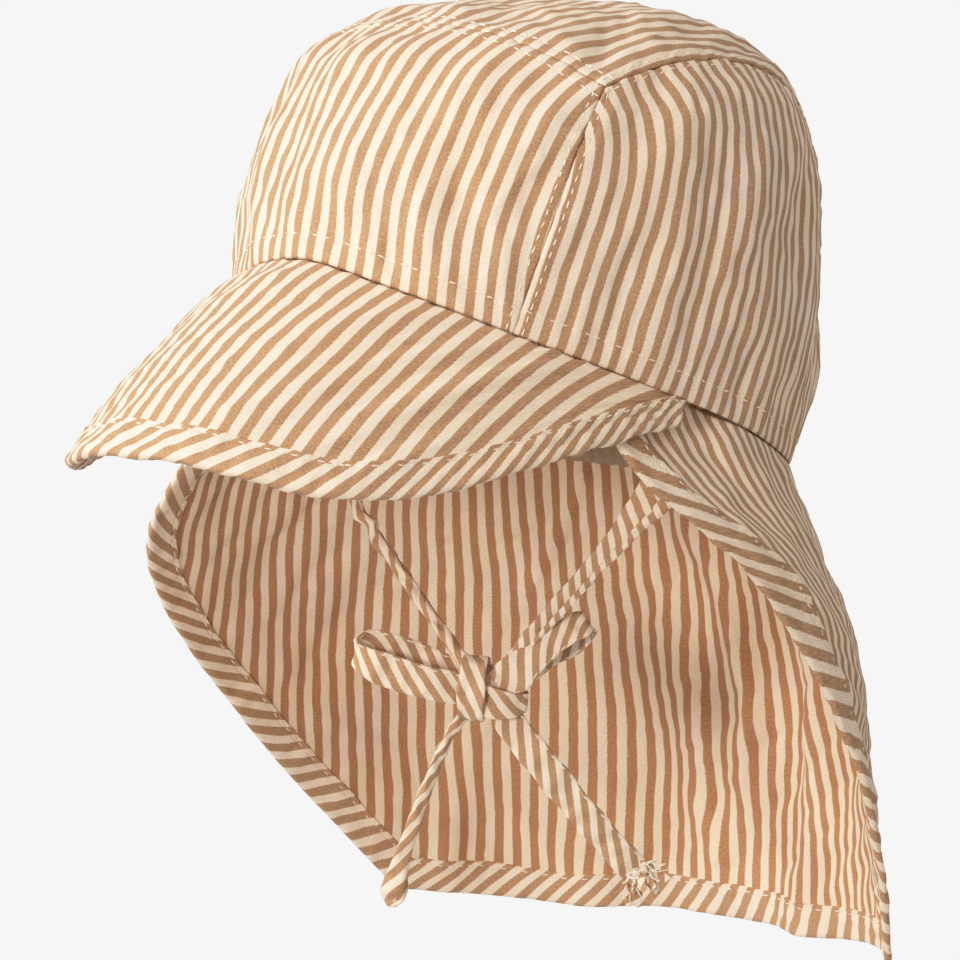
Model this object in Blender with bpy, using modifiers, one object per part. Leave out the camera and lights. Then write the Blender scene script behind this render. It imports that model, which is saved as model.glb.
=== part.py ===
"""A child's cloth sun hat: a four-panel crown, a soft peak, a long neck flap and a chin tie in a bow.

Metres, +Z up. The peak points along -Y and the wearer's left is +X. The origin is the middle
of the head opening, level with the rim over the ears.

An angle round the head is 0 at the front and grows towards the wearer's left. The crown is
drawn on a flat disc: the apex is its centre, the rim is its edge, and the panels are patches
of it between seam curves. The peak and the flap run from the same rim, so they follow the head.
"""

import bpy
import bmesh
import numpy as np

# Head opening and crown
HEAD_WIDTH = 0.150
HEAD_LENGTH = 0.178
CROWN_HEIGHT = 0.1077
CROWN_SET_BACK = 0.0142
RIM_RISE = 0.0418
CLOTH = 0.0015
SEAM_GAP = 0.0007

# Peak
PEAK_LENGTH = 0.080
PEAK_HALF_ANGLE = 82.0
PEAK_THICKNESS = 0.0028
PEAK_ARCH = 0.0048
PEAK_BINDING_WIDTH = 0.0095
PEAK_BINDING_THICKNESS = 0.0038

# Neck flap
FLAP_DROP = 0.185
FLAP_HALF_ANGLE = 118.0
FLAP_TUCK = 0.0055
FLAP_BINDING_WIDTH = 0.0100
FLAP_BINDING_THICKNESS = 0.0026
FLAP_COLUMNS = 32
FLAP_ROWS = 18

# Elastic casing inside the back of the rim
CASING_HALF_ANGLE = 78.0
CASING_ABOVE_RIM = 0.012
CASING_BELOW_RIM = 0.006
CASING_THICKNESS = 0.0022
CASING_GATHERS = 15
CASING_GATHER_DEPTH = 0.0010

# Chin tie. The bow faces forwards and to the wearer's left.
BOW_TURN = 42.0
KNOT_SIDE = 0.0262
KNOT_FORWARD = 0.040
KNOT_DROP = 0.0828
KNOT_WIDTH = 0.0200
KNOT_DEPTH = 0.0140
KNOT_HEIGHT = 0.0175
KNOT_CLEARANCE = 0.0011
STRAP_THICKNESS = 0.0016
TIE_WIDTH = 0.0048
TIE_THICKNESS = 0.0022
TIE_CLEARANCE = 0.0001
LEFT_TIE_SHARE = 0.03
LEFT_TIE_HEIGHT = 0.145
RIGHT_TIE_SHARE = 0.985
RIGHT_TIE_HEIGHT = 0.055
LOOP_WIDTH = 0.0110
LOOP_LENGTH = 0.032
TAIL_RIGHT_WIDTH = 0.0088
TAIL_RIGHT_LENGTH = 0.060
TAIL_LEFT_WIDTH = 0.0046
TAIL_LEFT_LENGTH = 0.061

# Height of the rim, as a share of RIM_RISE: angle from the front, height
RIM_HEIGHTS = (
    (0, 1.00),
    (25, 0.82),
    (50, 0.50),
    (90, -0.09),
    (135, -0.71),
    (180, -0.83),
)

# Crown profiles down the front, side and back: place on the disc, reach as a share of the
# rim's own reach, rise as a share of the way from the rim to the apex
CROWN_FRONT = (
    (0.0, 0.000, 1.000),
    (0.2, 0.440, 0.990),
    (0.4, 0.750, 0.870),
    (0.6, 0.890, 0.665),
    (0.8, 0.984, 0.362),
    (0.92, 0.998, 0.145),
    (1.0, 1.000, 0.000),
)
CROWN_SIDE = (
    (0.0, 0.000, 1.000),
    (0.2, 0.480, 0.978),
    (0.4, 0.838, 0.856),
    (0.6, 0.980, 0.657),
    (0.8, 1.032, 0.305),
    (0.92, 1.026, 0.122),
    (1.0, 1.000, 0.000),
)
CROWN_BACK = (
    (0.0, 0.000, 1.000),
    (0.2, 0.430, 0.967),
    (0.4, 0.798, 0.885),
    (0.6, 1.030, 0.669),
    (0.8, 1.092, 0.341),
    (0.92, 1.066, 0.136),
    (1.0, 1.000, 0.000),
)

# Seams on the disc: across, back. The front seam runs from the panel corner down to the rim.
# The top seam (share, across, back) runs from that corner to the back of the rim.
PANEL_CORNER = (0.417, -0.241)
FRONT_SEAM_BEND = (0.570, -0.410)
FRONT_SEAM_ANGLE = 46.0
TOP_SEAM = (
    (0.00, 0.417, -0.241),
    (0.25, 0.378, -0.060),
    (0.50, 0.378, 0.160),
    (0.75, 0.430, 0.460),
    (1.00, 0.574, 0.819),
)
TOP_SEAM_BOW = 0.042
BACK_SEAM_ANGLE = 145.0
SIDE_TIP_WIDTH = 0.0016

# Outer edge of the peak, beyond the rim point at the same share of its half angle, as shares
# of PEAK_LENGTH: share, sideways, forwards, down on the wearer's left, down on the right
PEAK_EDGE = (
    (0.0, 0.000, 0.838, 0.555, 0.555),
    (0.2, 0.095, 0.790, 0.535, 0.580),
    (0.4, 0.140, 0.645, 0.540, 0.580),
    (0.6, 0.120, 0.463, 0.415, 0.450),
    (0.8, 0.075, 0.238, 0.225, 0.250),
    (1.0, 0.010, 0.050, 0.055, 0.055),
)

# Hang of the flap, left front edge to right front edge, at four levels below the rim. Angles are
# from the back, reaches are shares of the rim's, and the drop is a share of FLAP_DROP.
# share, angle at each level, reach at each level, drop
FLAP_LEVELS = (0.0, 0.12, 0.36, 0.68, 1.0)
FLAP_HANG = (
    (0.00, -113, -84, -62, -50, 1.09, 1.16, 1.325, 1.40, 0.968),
    (0.17, -72, -60, -45, -38, 1.08, 1.25, 1.310, 1.35, 0.973),
    (0.33, -38, -33, -26, -22, 1.07, 1.19, 1.230, 1.20, 0.995),
    (0.50, 0, 0, 0, 0, 1.03, 1.12, 1.180, 1.20, 1.005),
    (0.67, 38, 32, 25, 20, 1.05, 1.18, 1.250, 1.24, 1.016),
    (0.83, 76, 68, 56, 42, 1.09, 1.38, 1.450, 1.36, 1.027),
    (1.00, 116.8, 108, 89, 65, 1.14, 1.56, 1.560, 1.49, 1.000),
)
# Soft folds of the flap: share round, half width, depth as a share of FLAP_DROP, from, to
FLAP_FOLDS = (
    (0.27, 0.040, 0.012, 0.25, 1.00),
    (0.34, 0.032, -0.024, 0.05, 0.80),
    (0.41, 0.035, 0.018, 0.25, 1.05),
    (0.55, 0.045, -0.016, 0.10, 0.80),
    (0.64, 0.040, 0.018, 0.35, 1.05),
    (0.76, 0.050, -0.024, 0.40, 1.30),
    (0.86, 0.045, 0.014, 0.30, 1.05),
)

# Straps of the bow in the bow's own directions, as shares of each strap's length:
# along, sideways, outwards, up, width share, and for the free ends the turn of the face in degrees
LOOP_LEFT = (
    (0.00, -0.31, -0.12, 0.08, 0.62),
    (0.25, -0.66, -0.15, 0.16, 0.92),
    (0.45, -1.02, -0.08, 0.24, 1.00),
    (0.50, -1.10, 0.00, 0.25, 1.00),
    (0.55, -1.04, 0.08, 0.23, 1.00),
    (0.75, -0.66, 0.15, 0.12, 0.98),
    (1.00, -0.31, 0.12, 0.02, 0.70),
)
LOOP_RIGHT = (
    (0.00, 0.30, -0.12, 0.10, 0.60),
    (0.25, 0.55, -0.16, 0.30, 0.90),
    (0.45, 0.82, -0.09, 0.53, 1.00),
    (0.50, 0.88, 0.00, 0.58, 1.00),
    (0.55, 0.81, 0.09, 0.54, 1.00),
    (0.75, 0.55, 0.16, 0.34, 0.98),
    (1.00, 0.30, 0.12, 0.14, 0.70),
)
TAIL_RIGHT = (
    (0.00, 0.10, 0.04, -0.13, 0.80, 0),
    (0.30, 0.30, 0.07, -0.38, 1.00, 8),
    (0.65, 0.52, 0.06, -0.66, 1.00, -6),
    (1.00, 0.74, 0.02, -0.94, 1.05, 4),
)
TAIL_LEFT = (
    (0.00, -0.07, -0.03, -0.13, 1.00, 30),
    (0.30, -0.24, -0.02, -0.38, 0.95, 55),
    (0.60, -0.36, 0.00, -0.68, 1.00, 95),
    (0.90, -0.43, 0.00, -0.98, 1.10, 150),
    (1.00, -0.44, 0.00, -1.08, 1.20, 170),
)

CLOTH_COLOUR = (0.72, 0.50, 0.33, 1.0)
BINDING_COLOUR = (0.76, 0.56, 0.40, 1.0)
CASING_COLOUR = (0.62, 0.47, 0.33, 1.0)


def through(x, rows, column, flat_start=False, flat_end=False):
    """A smooth curve through one column of a table whose first column is x."""
    x = np.asarray(x, float)
    table = np.array(rows, float)
    places = table[:, 0]
    values = table[:, column]
    slopes = np.gradient(values, places)
    if flat_start:
        slopes[0] = 0.0
    if flat_end:
        slopes[-1] = 0.0
    i = np.clip(np.searchsorted(places, x) - 1, 0, len(places) - 2)
    step = places[i + 1] - places[i]
    t = np.clip((x - places[i]) / step, 0.0, 1.0)
    start = (2 * t**3 - 3 * t**2 + 1) * values[i] + (t**3 - 2 * t**2 + t) * step * slopes[i]
    end = (3 * t**2 - 2 * t**3) * values[i + 1] + (t**3 - t**2) * step * slopes[i + 1]
    return start + end


def between(x, places, values):
    """A smooth curve through one array of values at each place, for every x."""
    places = np.array(places, float)
    values = np.stack(values, axis=-1)
    slopes = np.gradient(values, places, axis=-1)
    i = np.clip(np.searchsorted(places, x) - 1, 0, len(places) - 2)
    step = places[i + 1] - places[i]
    t = np.clip((x - places[i]) / step, 0.0, 1.0)

    def pick(array, k):
        return np.take_along_axis(array, k[..., None], axis=-1)[..., 0]

    start = (2 * t**3 - 3 * t**2 + 1) * pick(values, i) + (t**3 - 2 * t**2 + t) * step * pick(slopes, i)
    end = (3 * t**2 - 2 * t**3) * pick(values, i + 1) + (t**3 - t**2) * step * pick(slopes, i + 1)
    return start + end


def smooth(x, low, high):
    """0 below low, 1 above high, and an S-shaped rise between them."""
    t = np.clip((np.asarray(x, float) - low) / (high - low), 0.0, 1.0)
    return t * t * (3 - 2 * t)


def stack(x, y, z):
    x, y, z = np.broadcast_arrays(x, y, z)
    return np.stack([x, y, z], axis=-1)


def unit(vectors):
    return vectors / np.maximum(np.linalg.norm(vectors, axis=-1, keepdims=True), 1e-12)


def rim_point(angle):
    """A point of the rim; the angle is in radians from the front."""
    angle = np.asarray(angle, float)
    from_front = np.degrees(np.abs((angle + np.pi) % (2 * np.pi) - np.pi))
    height = RIM_RISE * through(from_front, RIM_HEIGHTS, 1, True, True)
    return stack(HEAD_WIDTH / 2 * np.sin(angle), -HEAD_LENGTH / 2 * np.cos(angle), height)


def crown_point(across, back):
    """The crown's outer face at a place on the disc."""
    radius = np.hypot(across, back)
    angle = np.arctan2(across, -np.asarray(back, float))
    weights = (
        (np.maximum(np.cos(angle), 0) ** 2, CROWN_FRONT),
        (np.sin(angle) ** 2, CROWN_SIDE),
        (np.maximum(-np.cos(angle), 0) ** 2, CROWN_BACK),
    )
    reach = sum(weight * through(radius, table, 1) for weight, table in weights)
    rise = sum(weight * through(radius, table, 2, True) for weight, table in weights)
    rim = rim_point(angle)
    return stack(
        rim[..., 0] * reach,
        rim[..., 1] * reach + CROWN_SET_BACK * rise,
        rim[..., 2] * (1 - rise) + CROWN_HEIGHT * rise,
    )


def bend(start, middle, end, t):
    """A quadratic bend on the disc, as one array of places."""
    t = np.asarray(t, float)[..., None]
    return (1 - t) ** 2 * np.array(start) + 2 * t * (1 - t) * np.array(middle) + t**2 * np.array(end)


def on_rim(degrees):
    angle = np.radians(np.asarray(degrees, float))
    return np.stack([np.sin(angle), -np.cos(angle)], axis=-1)


def front_seam(v, side):
    """Rim to panel corner, v from 0 to 1, on one side of the head."""
    foot = on_rim(FRONT_SEAM_ANGLE)
    return bend(foot, FRONT_SEAM_BEND, PANEL_CORNER, v) * np.array([side, 1.0])


def top_seam(v, side):
    """Panel corner to the back of the rim, v from 0 to 1."""
    places = np.stack([through(v, TOP_SEAM, 1), through(v, TOP_SEAM, 2)], axis=-1)
    foot = on_rim(BACK_SEAM_ANGLE) - np.array(TOP_SEAM[-1][1:])
    return (places + foot * np.asarray(v, float)[..., None] ** 2) * np.array([side, 1.0])


def crest_seam(u):
    """Across the head between the two panel corners, right to left."""
    across = PANEL_CORNER[0] * (2 * np.asarray(u, float) - 1)
    back = PANEL_CORNER[1] - TOP_SEAM_BOW * (1 - (2 * np.asarray(u, float) - 1) ** 2)
    return np.stack([across, back], axis=-1)


def patch(left, right, low, high):
    """A surface on the crown inside four seam curves that share their ends."""

    def surface(u, v):
        u1 = np.asarray(u, float)[..., None]
        v1 = np.asarray(v, float)[..., None]
        zero = np.zeros_like(u1[..., 0])
        one = np.ones_like(zero)
        places = (1 - u1) * left(v) + u1 * right(v) + (1 - v1) * low(u) + v1 * high(u)
        places = places - (1 - u1) * (1 - v1) * low(zero) - u1 * (1 - v1) * low(one)
        places = places - (1 - u1) * v1 * high(zero) - u1 * v1 * high(one)
        return crown_point(places[..., 0], places[..., 1])

    return surface


def trimmed(surface, left=SEAM_GAP / 2, right=SEAM_GAP / 2, low=SEAM_GAP / 2, high=SEAM_GAP / 2):
    """The same surface with a strip of each width taken off along its four edges."""
    steps = np.linspace(0, 1, 17)

    def spans(values, along_u):
        a, b = np.meshgrid(np.ravel(values), steps, indexing="ij")
        points = surface(b, a) if along_u else surface(a, b)
        return np.linalg.norm(np.diff(points, axis=1), axis=-1).sum(axis=1).reshape(np.shape(values))

    def cut(u, v):
        width = spans(v, True)
        height = spans(u, False)
        new_u = left / width + u * (1 - (left + right) / width)
        new_v = low / height + v * (1 - (low + high) / height)
        return surface(new_u, new_v)

    return cut


def peak_point(share, t):
    """The peak's upper face; share runs -1 to 1 to the wearer's left, t from the rim to the edge."""
    share = np.asarray(share, float)
    t = np.asarray(t, float)[..., None]
    place = np.abs(share)
    rim = rim_point(np.radians(PEAK_HALF_ANGLE * share))
    forwards = through(place, PEAK_EDGE, 2, True)
    down = np.where(share > 0, through(place, PEAK_EDGE, 3, True), through(place, PEAK_EDGE, 4, True))
    run = PEAK_LENGTH * stack(np.sign(share) * through(place, PEAK_EDGE, 1), -forwards, -down)
    length = np.linalg.norm(run, axis=-1)
    arch = PEAK_ARCH * (length / PEAK_LENGTH)[..., None] * 4 * t * (1 - t)
    start = SEAM_GAP * unit(run)
    return rim + start + (run - start) * t + arch * np.array([0.0, -0.5, 0.86])


def peak_run(share):
    """Length of the peak from the rim to its edge."""
    return np.linalg.norm(peak_point(share, 1.0) - peak_point(share, 0.0), axis=-1)


def flap_fold(share, t):
    """How far the folds push the flap outwards."""
    push = 0.0
    for centre, half, depth, start, stop in FLAP_FOLDS:
        shape = np.exp(-(((share - centre) / half) ** 2))
        fade = smooth(t, start, start + 0.3) * (1 - 0.6 * smooth(t, stop - 0.25, stop))
        push = push + depth * shape * fade
    return FLAP_DROP * push


def flap_point(share, t):
    """The flap's outer face; share runs from the left front edge to the right, t from rim to hem."""
    share, t = np.broadcast_arrays(np.asarray(share, float), np.asarray(t, float))
    rim_turn = FLAP_HALF_ANGLE * (2 * share - 1)
    levels = len(FLAP_LEVELS) - 1
    turns = [rim_turn] + [through(share, FLAP_HANG, 1 + k) for k in range(levels)]
    reaches = [np.ones_like(share)] + [through(share, FLAP_HANG, 1 + levels + k) for k in range(levels)]
    angle = np.radians(180 + between(t, FLAP_LEVELS, turns))
    reach = between(t, FLAP_LEVELS, reaches)
    rim = rim_point(np.radians(180 + rim_turn))
    # Under the peak the flap starts inside the rim, so that the two don't meet.
    from_front = 180 - np.abs(rim_turn)
    beside_peak = 1 - smooth(from_front, PEAK_HALF_ANGLE + 2, PEAK_HALF_ANGLE + 16)
    tuck = FLAP_TUCK * beside_peak * (1 - smooth(t, 0.06, 0.25))
    behind_crown = CLOTH + FLAP_BINDING_THICKNESS / 2 + SEAM_GAP
    top = rim[..., 2] - SEAM_GAP + 0.5 * np.maximum(tuck - behind_crown, 0.0)
    hem = -FLAP_DROP * through(share, FLAP_HANG, 1 + 2 * levels)
    push = flap_fold(share, t) - tuck
    out = unit(stack(np.sin(angle), -np.cos(angle), 0.0))
    across = HEAD_WIDTH / 2 * np.sin(angle) * reach
    back = -HEAD_LENGTH / 2 * np.cos(angle) * reach
    return stack(across, back, top + (hem - top) * t) + out * push[..., None]


def flap_margin(share, t, along_share):
    """Share of the flap that the binding's width covers at an edge."""
    h = 1e-3
    share = np.clip(share, h, 1 - h)
    t = np.clip(t, h, 1 - h)
    du = (flap_point(share + h, t) - flap_point(share - h, t)) / (2 * h)
    dv = (flap_point(share, t + h) - flap_point(share, t - h)) / (2 * h)
    area = np.linalg.norm(np.cross(du, dv), axis=-1)
    speed = area / np.linalg.norm(dv if along_share else du, axis=-1)
    return FLAP_BINDING_WIDTH / speed


def flap_inner(u, t, extra=0.0):
    """Flap share at u, from one binding's inner line to the other's, at the height t."""
    grow = 1 + extra / FLAP_BINDING_WIDTH
    left = flap_margin(np.zeros_like(t), t, True) * grow
    right = flap_margin(np.ones_like(t), t, True) * grow
    return left + u * (1 - left - right)


def flap_hem(u, extra=0.0):
    """Height of the binding's inner line above the hem, as a place t."""
    share = np.clip(u, 0.0, 1.0)
    return 1 - flap_margin(share, np.ones_like(share), False) * (1 + extra / FLAP_BINDING_WIDTH)


def make_material(name, colour, roughness=0.9):
    material = bpy.data.materials.new(name)
    material.use_nodes = True
    shader = material.node_tree.nodes["Principled BSDF"]
    shader.inputs["Base Color"].default_value = colour
    shader.inputs["Roughness"].default_value = roughness
    shader.inputs["Metallic"].default_value = 0.0
    return material


def add_object(name, mesh, colour, collection):
    mesh.materials.append(make_material(name, colour))
    obj = bpy.data.objects.new(name, mesh)
    collection.objects.link(obj)
    return obj


def cloth_sheet(name, surface, columns, rows, thickness, colour, collection, offset=-1.0):
    """A grid bent to surface(u, v), with u and v from 0 to 1, and thickened."""
    mesh = bpy.data.meshes.new(name)
    grid = bmesh.new()
    bmesh.ops.create_grid(grid, x_segments=columns, y_segments=rows, size=0.5)
    flat = np.array([vertex.co for vertex in grid.verts])
    points = surface(flat[:, 0] + 0.5, flat[:, 1] + 0.5)
    for vertex, point in zip(grid.verts, points):
        vertex.co = point
    grid.to_mesh(mesh)
    grid.free()
    mesh.shade_smooth()
    obj = add_object(name, mesh, colour, collection)
    solid = obj.modifiers.new("thickness", "SOLIDIFY")
    solid.thickness = thickness
    solid.offset = offset
    return obj


def make_crown(collection):
    """Front, top and two side panels, cut along the seams."""
    front = patch(
        lambda v: front_seam(v, -1),
        lambda v: front_seam(v, 1),
        lambda u: on_rim(FRONT_SEAM_ANGLE * (2 * np.asarray(u, float) - 1)),
        crest_seam,
    )
    cloth_sheet("front_panel", trimmed(front), 16, 11, CLOTH, CLOTH_COLOUR, collection)
    top = patch(
        lambda v: top_seam(v, 1),
        lambda v: top_seam(v, -1),
        lambda u: crest_seam(1 - np.asarray(u, float)),
        lambda u: on_rim(BACK_SEAM_ANGLE + 2 * (180 - BACK_SEAM_ANGLE) * np.asarray(u, float)),
    )
    cloth_sheet("top_panel", trimmed(lambda u, v: top(u, 1 - v)), 16, 20, CLOTH, CLOTH_COLOUR, collection)
    rim_arc = np.radians(BACK_SEAM_ANGLE - FRONT_SEAM_ANGLE) * HEAD_LENGTH / 2
    tip = SIDE_TIP_WIDTH / rim_arc
    for name, side in (("side_panel_left", 1), ("side_panel_right", -1)):

        def seam_side(u, side=side):
            return top_seam(np.asarray(u, float) * (1 - tip), side)

        def rim_side(u, side=side):
            span = (BACK_SEAM_ANGLE - FRONT_SEAM_ANGLE) * (1 - tip)
            return on_rim(side * (FRONT_SEAM_ANGLE + span * np.asarray(u, float)))

        def tip_side(v, side=side):
            v1 = np.asarray(v, float)[..., None]
            return rim_side(np.array(1.0), side) * (1 - v1) + seam_side(np.array(1.0), side) * v1

        def front_side(v, side=side):
            return front_seam(v, side)

        panel = patch(front_side, tip_side, rim_side, seam_side)
        if side > 0:
            surface = trimmed(panel, right=0.0)
        else:
            surface = trimmed(lambda u, v, panel=panel: panel(1 - u, v), left=0.0)
        cloth_sheet(name, surface, 20, 11, CLOTH, CLOTH_COLOUR, collection)


def make_peak(collection):
    """The peak's body and the folded band round its edge."""
    longest = peak_run(np.array(0.0))
    shares = np.linspace(0, 1, 201)
    room = PEAK_BINDING_WIDTH + SEAM_GAP + 0.03 * longest
    last = shares[np.nonzero(peak_run(shares) > room)[0][-1]]

    def body(u, v):
        share = last * (2 * u - 1)
        inner = 1 - (PEAK_BINDING_WIDTH + SEAM_GAP) / peak_run(share)
        return peak_point(share, (1 - v) * inner)

    def band(u, v):
        share = 2 * u - 1
        inner = np.maximum(1 - PEAK_BINDING_WIDTH / peak_run(share), 0.0)
        return peak_point(share, 1 - v * (1 - inner))

    cloth_sheet("peak", body, 24, 8, PEAK_THICKNESS, CLOTH_COLOUR, collection)
    rise = PEAK_BINDING_THICKNESS - PEAK_THICKNESS
    offset = rise / PEAK_BINDING_THICKNESS - 1
    cloth_sheet("peak_binding", band, 46, 2, PEAK_BINDING_THICKNESS, BINDING_COLOUR, collection, offset)


def flap_binding_point(u, v):
    """Down the left front edge, along the hem and up the right edge; v runs across the band."""
    u = np.asarray(u, float)
    v = np.asarray(v, float)
    step = u * (2 * FLAP_ROWS + FLAP_COLUMNS)
    down = np.clip(step / FLAP_ROWS, 0.0, 1.0)
    along = np.clip((step - FLAP_ROWS) / FLAP_COLUMNS, 0.0, 1.0)
    up = np.clip((step - FLAP_ROWS - FLAP_COLUMNS) / FLAP_ROWS, 0.0, 1.0)
    low = flap_hem(along)
    outer_share = along
    outer_t = down - up
    inner_t = outer_t * low
    inner_share = flap_inner(along, inner_t)
    return flap_point(outer_share + (inner_share - outer_share) * v, outer_t + (inner_t - outer_t) * v)


def make_flap(collection):
    """The neck flap and the binding along its free edges."""

    def body(u, v):
        low = flap_hem(u, SEAM_GAP)
        t = (1 - v) * low
        return flap_point(flap_inner(u, t, SEAM_GAP), t)

    cloth_sheet("neck_flap", body, FLAP_COLUMNS, FLAP_ROWS, CLOTH, CLOTH_COLOUR, collection)
    rise = (FLAP_BINDING_THICKNESS - CLOTH) / 2
    offset = 2 * rise / FLAP_BINDING_THICKNESS - 1
    columns = 2 * FLAP_ROWS + FLAP_COLUMNS
    cloth_sheet(
        "flap_binding",
        flap_binding_point,
        columns,
        2,
        FLAP_BINDING_THICKNESS,
        BINDING_COLOUR,
        collection,
        offset,
    )


def make_casing(collection):
    """The gathered band that hides the elastic, inside the back of the rim."""

    def band(u, v):
        turn = CASING_HALF_ANGLE * (2 * u - 1)
        angle = np.radians(180 + turn)
        height = -CASING_BELOW_RIM + v * (CASING_ABOVE_RIM + CASING_BELOW_RIM)
        rim = rim_point(angle)
        up = np.maximum(height, 0.0) / (CROWN_HEIGHT - rim[..., 2])
        above = crown_point(np.sin(angle) * (1 - 0.62 * up), -np.cos(angle) * (1 - 0.62 * up))
        share = 0.5 + turn / (2 * FLAP_HALF_ANGLE)
        fall = FLAP_DROP + rim[..., 2]
        below = flap_point(share, np.maximum(-height, 0.0) / fall)
        base = np.where((height > 0)[..., None], above, below)
        base[..., 2] = rim[..., 2] + height
        wave = 0.5 - 0.5 * np.cos(2 * np.pi * CASING_GATHERS * u)
        inset = 1.25 * CLOTH + SEAM_GAP + CASING_GATHER_DEPTH * wave
        out = unit(base * np.array([1.0, 1.0, 0.0]))
        return base - out * inset[..., None]

    columns = 4 * CASING_GATHERS
    cloth_sheet("elastic_casing", band, columns, 3, CASING_THICKNESS, CASING_COLOUR, collection)


def bow_axes():
    turn = np.radians(BOW_TURN)
    sideways = np.array([np.cos(turn), np.sin(turn), 0.0])
    outwards = np.array([np.sin(turn), -np.cos(turn), 0.0])
    return sideways, outwards, np.array([0.0, 0.0, 1.0])


def knot_centre():
    return np.array([KNOT_SIDE, -KNOT_FORWARD, -KNOT_DROP])


def knot_face(sides):
    """A point just off the knot, in the direction given as sideways, outwards and up."""
    sides = unit(np.array(sides, float))
    halves = np.array([KNOT_WIDTH, KNOT_DEPTH, KNOT_HEIGHT]) / 2
    reach = 1 / np.linalg.norm(sides / halves) + KNOT_CLEARANCE
    return knot_centre() + reach * (np.array(bow_axes()).T @ sides)


def strap(name, place, width_share, face, turn, width, thickness, columns, collection):
    """A flat strap along place(u), with its face along face(u) and then turned."""

    def surface(u, v):
        h = 1e-3
        along = unit(place(np.clip(u + h, 0, 1)) - place(np.clip(u - h, 0, 1)))
        flat = unit(np.cross(along, face(u)))
        front = np.cross(flat, along)
        angle = np.radians(turn(u))[..., None]
        across = np.cos(angle) * flat + np.sin(angle) * front
        half = (width * width_share(u) * (v - 0.5))[..., None]
        return place(u) + across * half

    cloth_sheet(name, surface, columns, 2, thickness, BINDING_COLOUR, collection, 0.0)


def bow_path(rows, length, both_ends):
    """A path from a table, moved so that its end, or both its ends, meet the knot."""
    axes = np.array(bow_axes())
    first = np.array(rows[0][1:4])
    last = np.array(rows[-1][1:4])
    start_shift = knot_face(first) - (knot_centre() + length * (axes.T @ first))
    end_shift = start_shift
    if both_ends:
        end_shift = knot_face(last) - (knot_centre() + length * (axes.T @ last))

    def place(u):
        u1 = np.asarray(u, float)[..., None]
        parts = np.stack([through(u, rows, k) for k in (1, 2, 3)], axis=-1)
        return knot_centre() + length * (parts @ axes) + start_shift * (1 - u1) + end_shift * u1

    return place


def tail_strap(name, rows, length, width, columns, collection):
    outwards = bow_axes()[1]
    strap(
        name,
        bow_path(rows, length, False),
        lambda u: through(u, rows, 4),
        lambda u: np.broadcast_to(outwards, np.shape(u) + (3,)),
        lambda u: through(u, rows, 5),
        width,
        STRAP_THICKNESS,
        columns,
        collection,
    )


def loop_strap(name, rows, collection):
    """A loop of strap: it goes out behind, folds over at the tip and comes back in front."""
    sideways, outwards, up = bow_axes()
    tip = np.array(rows[len(rows) // 2][1:4])
    across = unit(np.cross(sideways * tip[0] + up * tip[2], outwards))
    place = bow_path(rows, LOOP_LENGTH, True)

    def surface(u, v):
        half = (LOOP_WIDTH * through(u, rows, 4) * (v - 0.5))[..., None]
        return place(u) + across * half

    cloth_sheet(name, surface, 26, 2, STRAP_THICKNESS, BINDING_COLOUR, collection, 0.0)


def tie_strap(name, share, t, end_sides, sag, width_share, turn, columns, collection):
    """A strap from the inside of the flap's binding to the knot, flat against the flap at first."""
    outwards, up = bow_axes()[1:]
    h = 0.01
    anchor = flap_point(np.array(share), np.array(t))
    before = flap_point(np.array(max(share - h, 0.0)), np.array(t))
    after = flap_point(np.array(min(share + h, 1.0)), np.array(t))
    below = flap_point(np.array(share), np.array(t + h))
    normal = unit(np.cross(after - before, anchor - below))
    inside = (CLOTH + FLAP_BINDING_THICKNESS) / 2 + TIE_CLEARANCE + TIE_THICKNESS / 2
    start = anchor - normal * inside
    end = knot_face(end_sides)

    def place(u):
        u1 = np.asarray(u, float)[..., None]
        return start + (end - start) * u1 - up * sag * 4 * u1 * (1 - u1)

    def face(u):
        blend = smooth(u, 0.0, 0.3)[..., None]
        return unit((1 - blend) * normal + blend * outwards)

    strap(name, place, width_share, face, turn, TIE_WIDTH, TIE_THICKNESS, columns, collection)


def make_tie(collection):
    """Two straps from inside the flap's front edges to the knot, two loops and two free ends."""
    tie_strap(
        "tie_right",
        RIGHT_TIE_SHARE,
        RIGHT_TIE_HEIGHT,
        (-0.62, -0.25, 0.72),
        0.003,
        lambda u: 1.0 - 0.25 * smooth(u, 0.2, 1.0),
        lambda u: 180 * smooth(u, 0.2, 0.8),
        20,
        collection,
    )
    tie_strap(
        "tie_left",
        LEFT_TIE_SHARE,
        LEFT_TIE_HEIGHT,
        (0.42, -0.35, 0.75),
        0.001,
        lambda u: 1.0 + 0.6 * (1 - smooth(u, 0.05, 0.4)),
        lambda u: 25 * smooth(u, 0.3, 0.6),
        14,
        collection,
    )
    loop_strap("bow_loop_left", LOOP_LEFT, collection)
    loop_strap("bow_loop_right", LOOP_RIGHT, collection)
    tail_strap("tail_right", TAIL_RIGHT, TAIL_RIGHT_LENGTH, TAIL_RIGHT_WIDTH, 14, collection)
    tail_strap("tail_left", TAIL_LEFT, TAIL_LEFT_LENGTH, TAIL_LEFT_WIDTH, 20, collection)

    sideways, outwards, up = bow_axes()
    mesh = bpy.data.meshes.new("knot")
    ball = bmesh.new()
    bmesh.ops.create_uvsphere(ball, u_segments=12, v_segments=8, radius=0.5)
    for vertex in ball.verts:
        x, y, z = np.array(vertex.co) * np.array([KNOT_WIDTH, KNOT_DEPTH, KNOT_HEIGHT])
        vertex.co = sideways * x + outwards * y + up * z
    bmesh.ops.reverse_faces(ball, faces=ball.faces)
    ball.to_mesh(mesh)
    ball.free()
    mesh.shade_smooth()
    obj = add_object("knot", mesh, BINDING_COLOUR, collection)
    obj.location = knot_centre()


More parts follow.
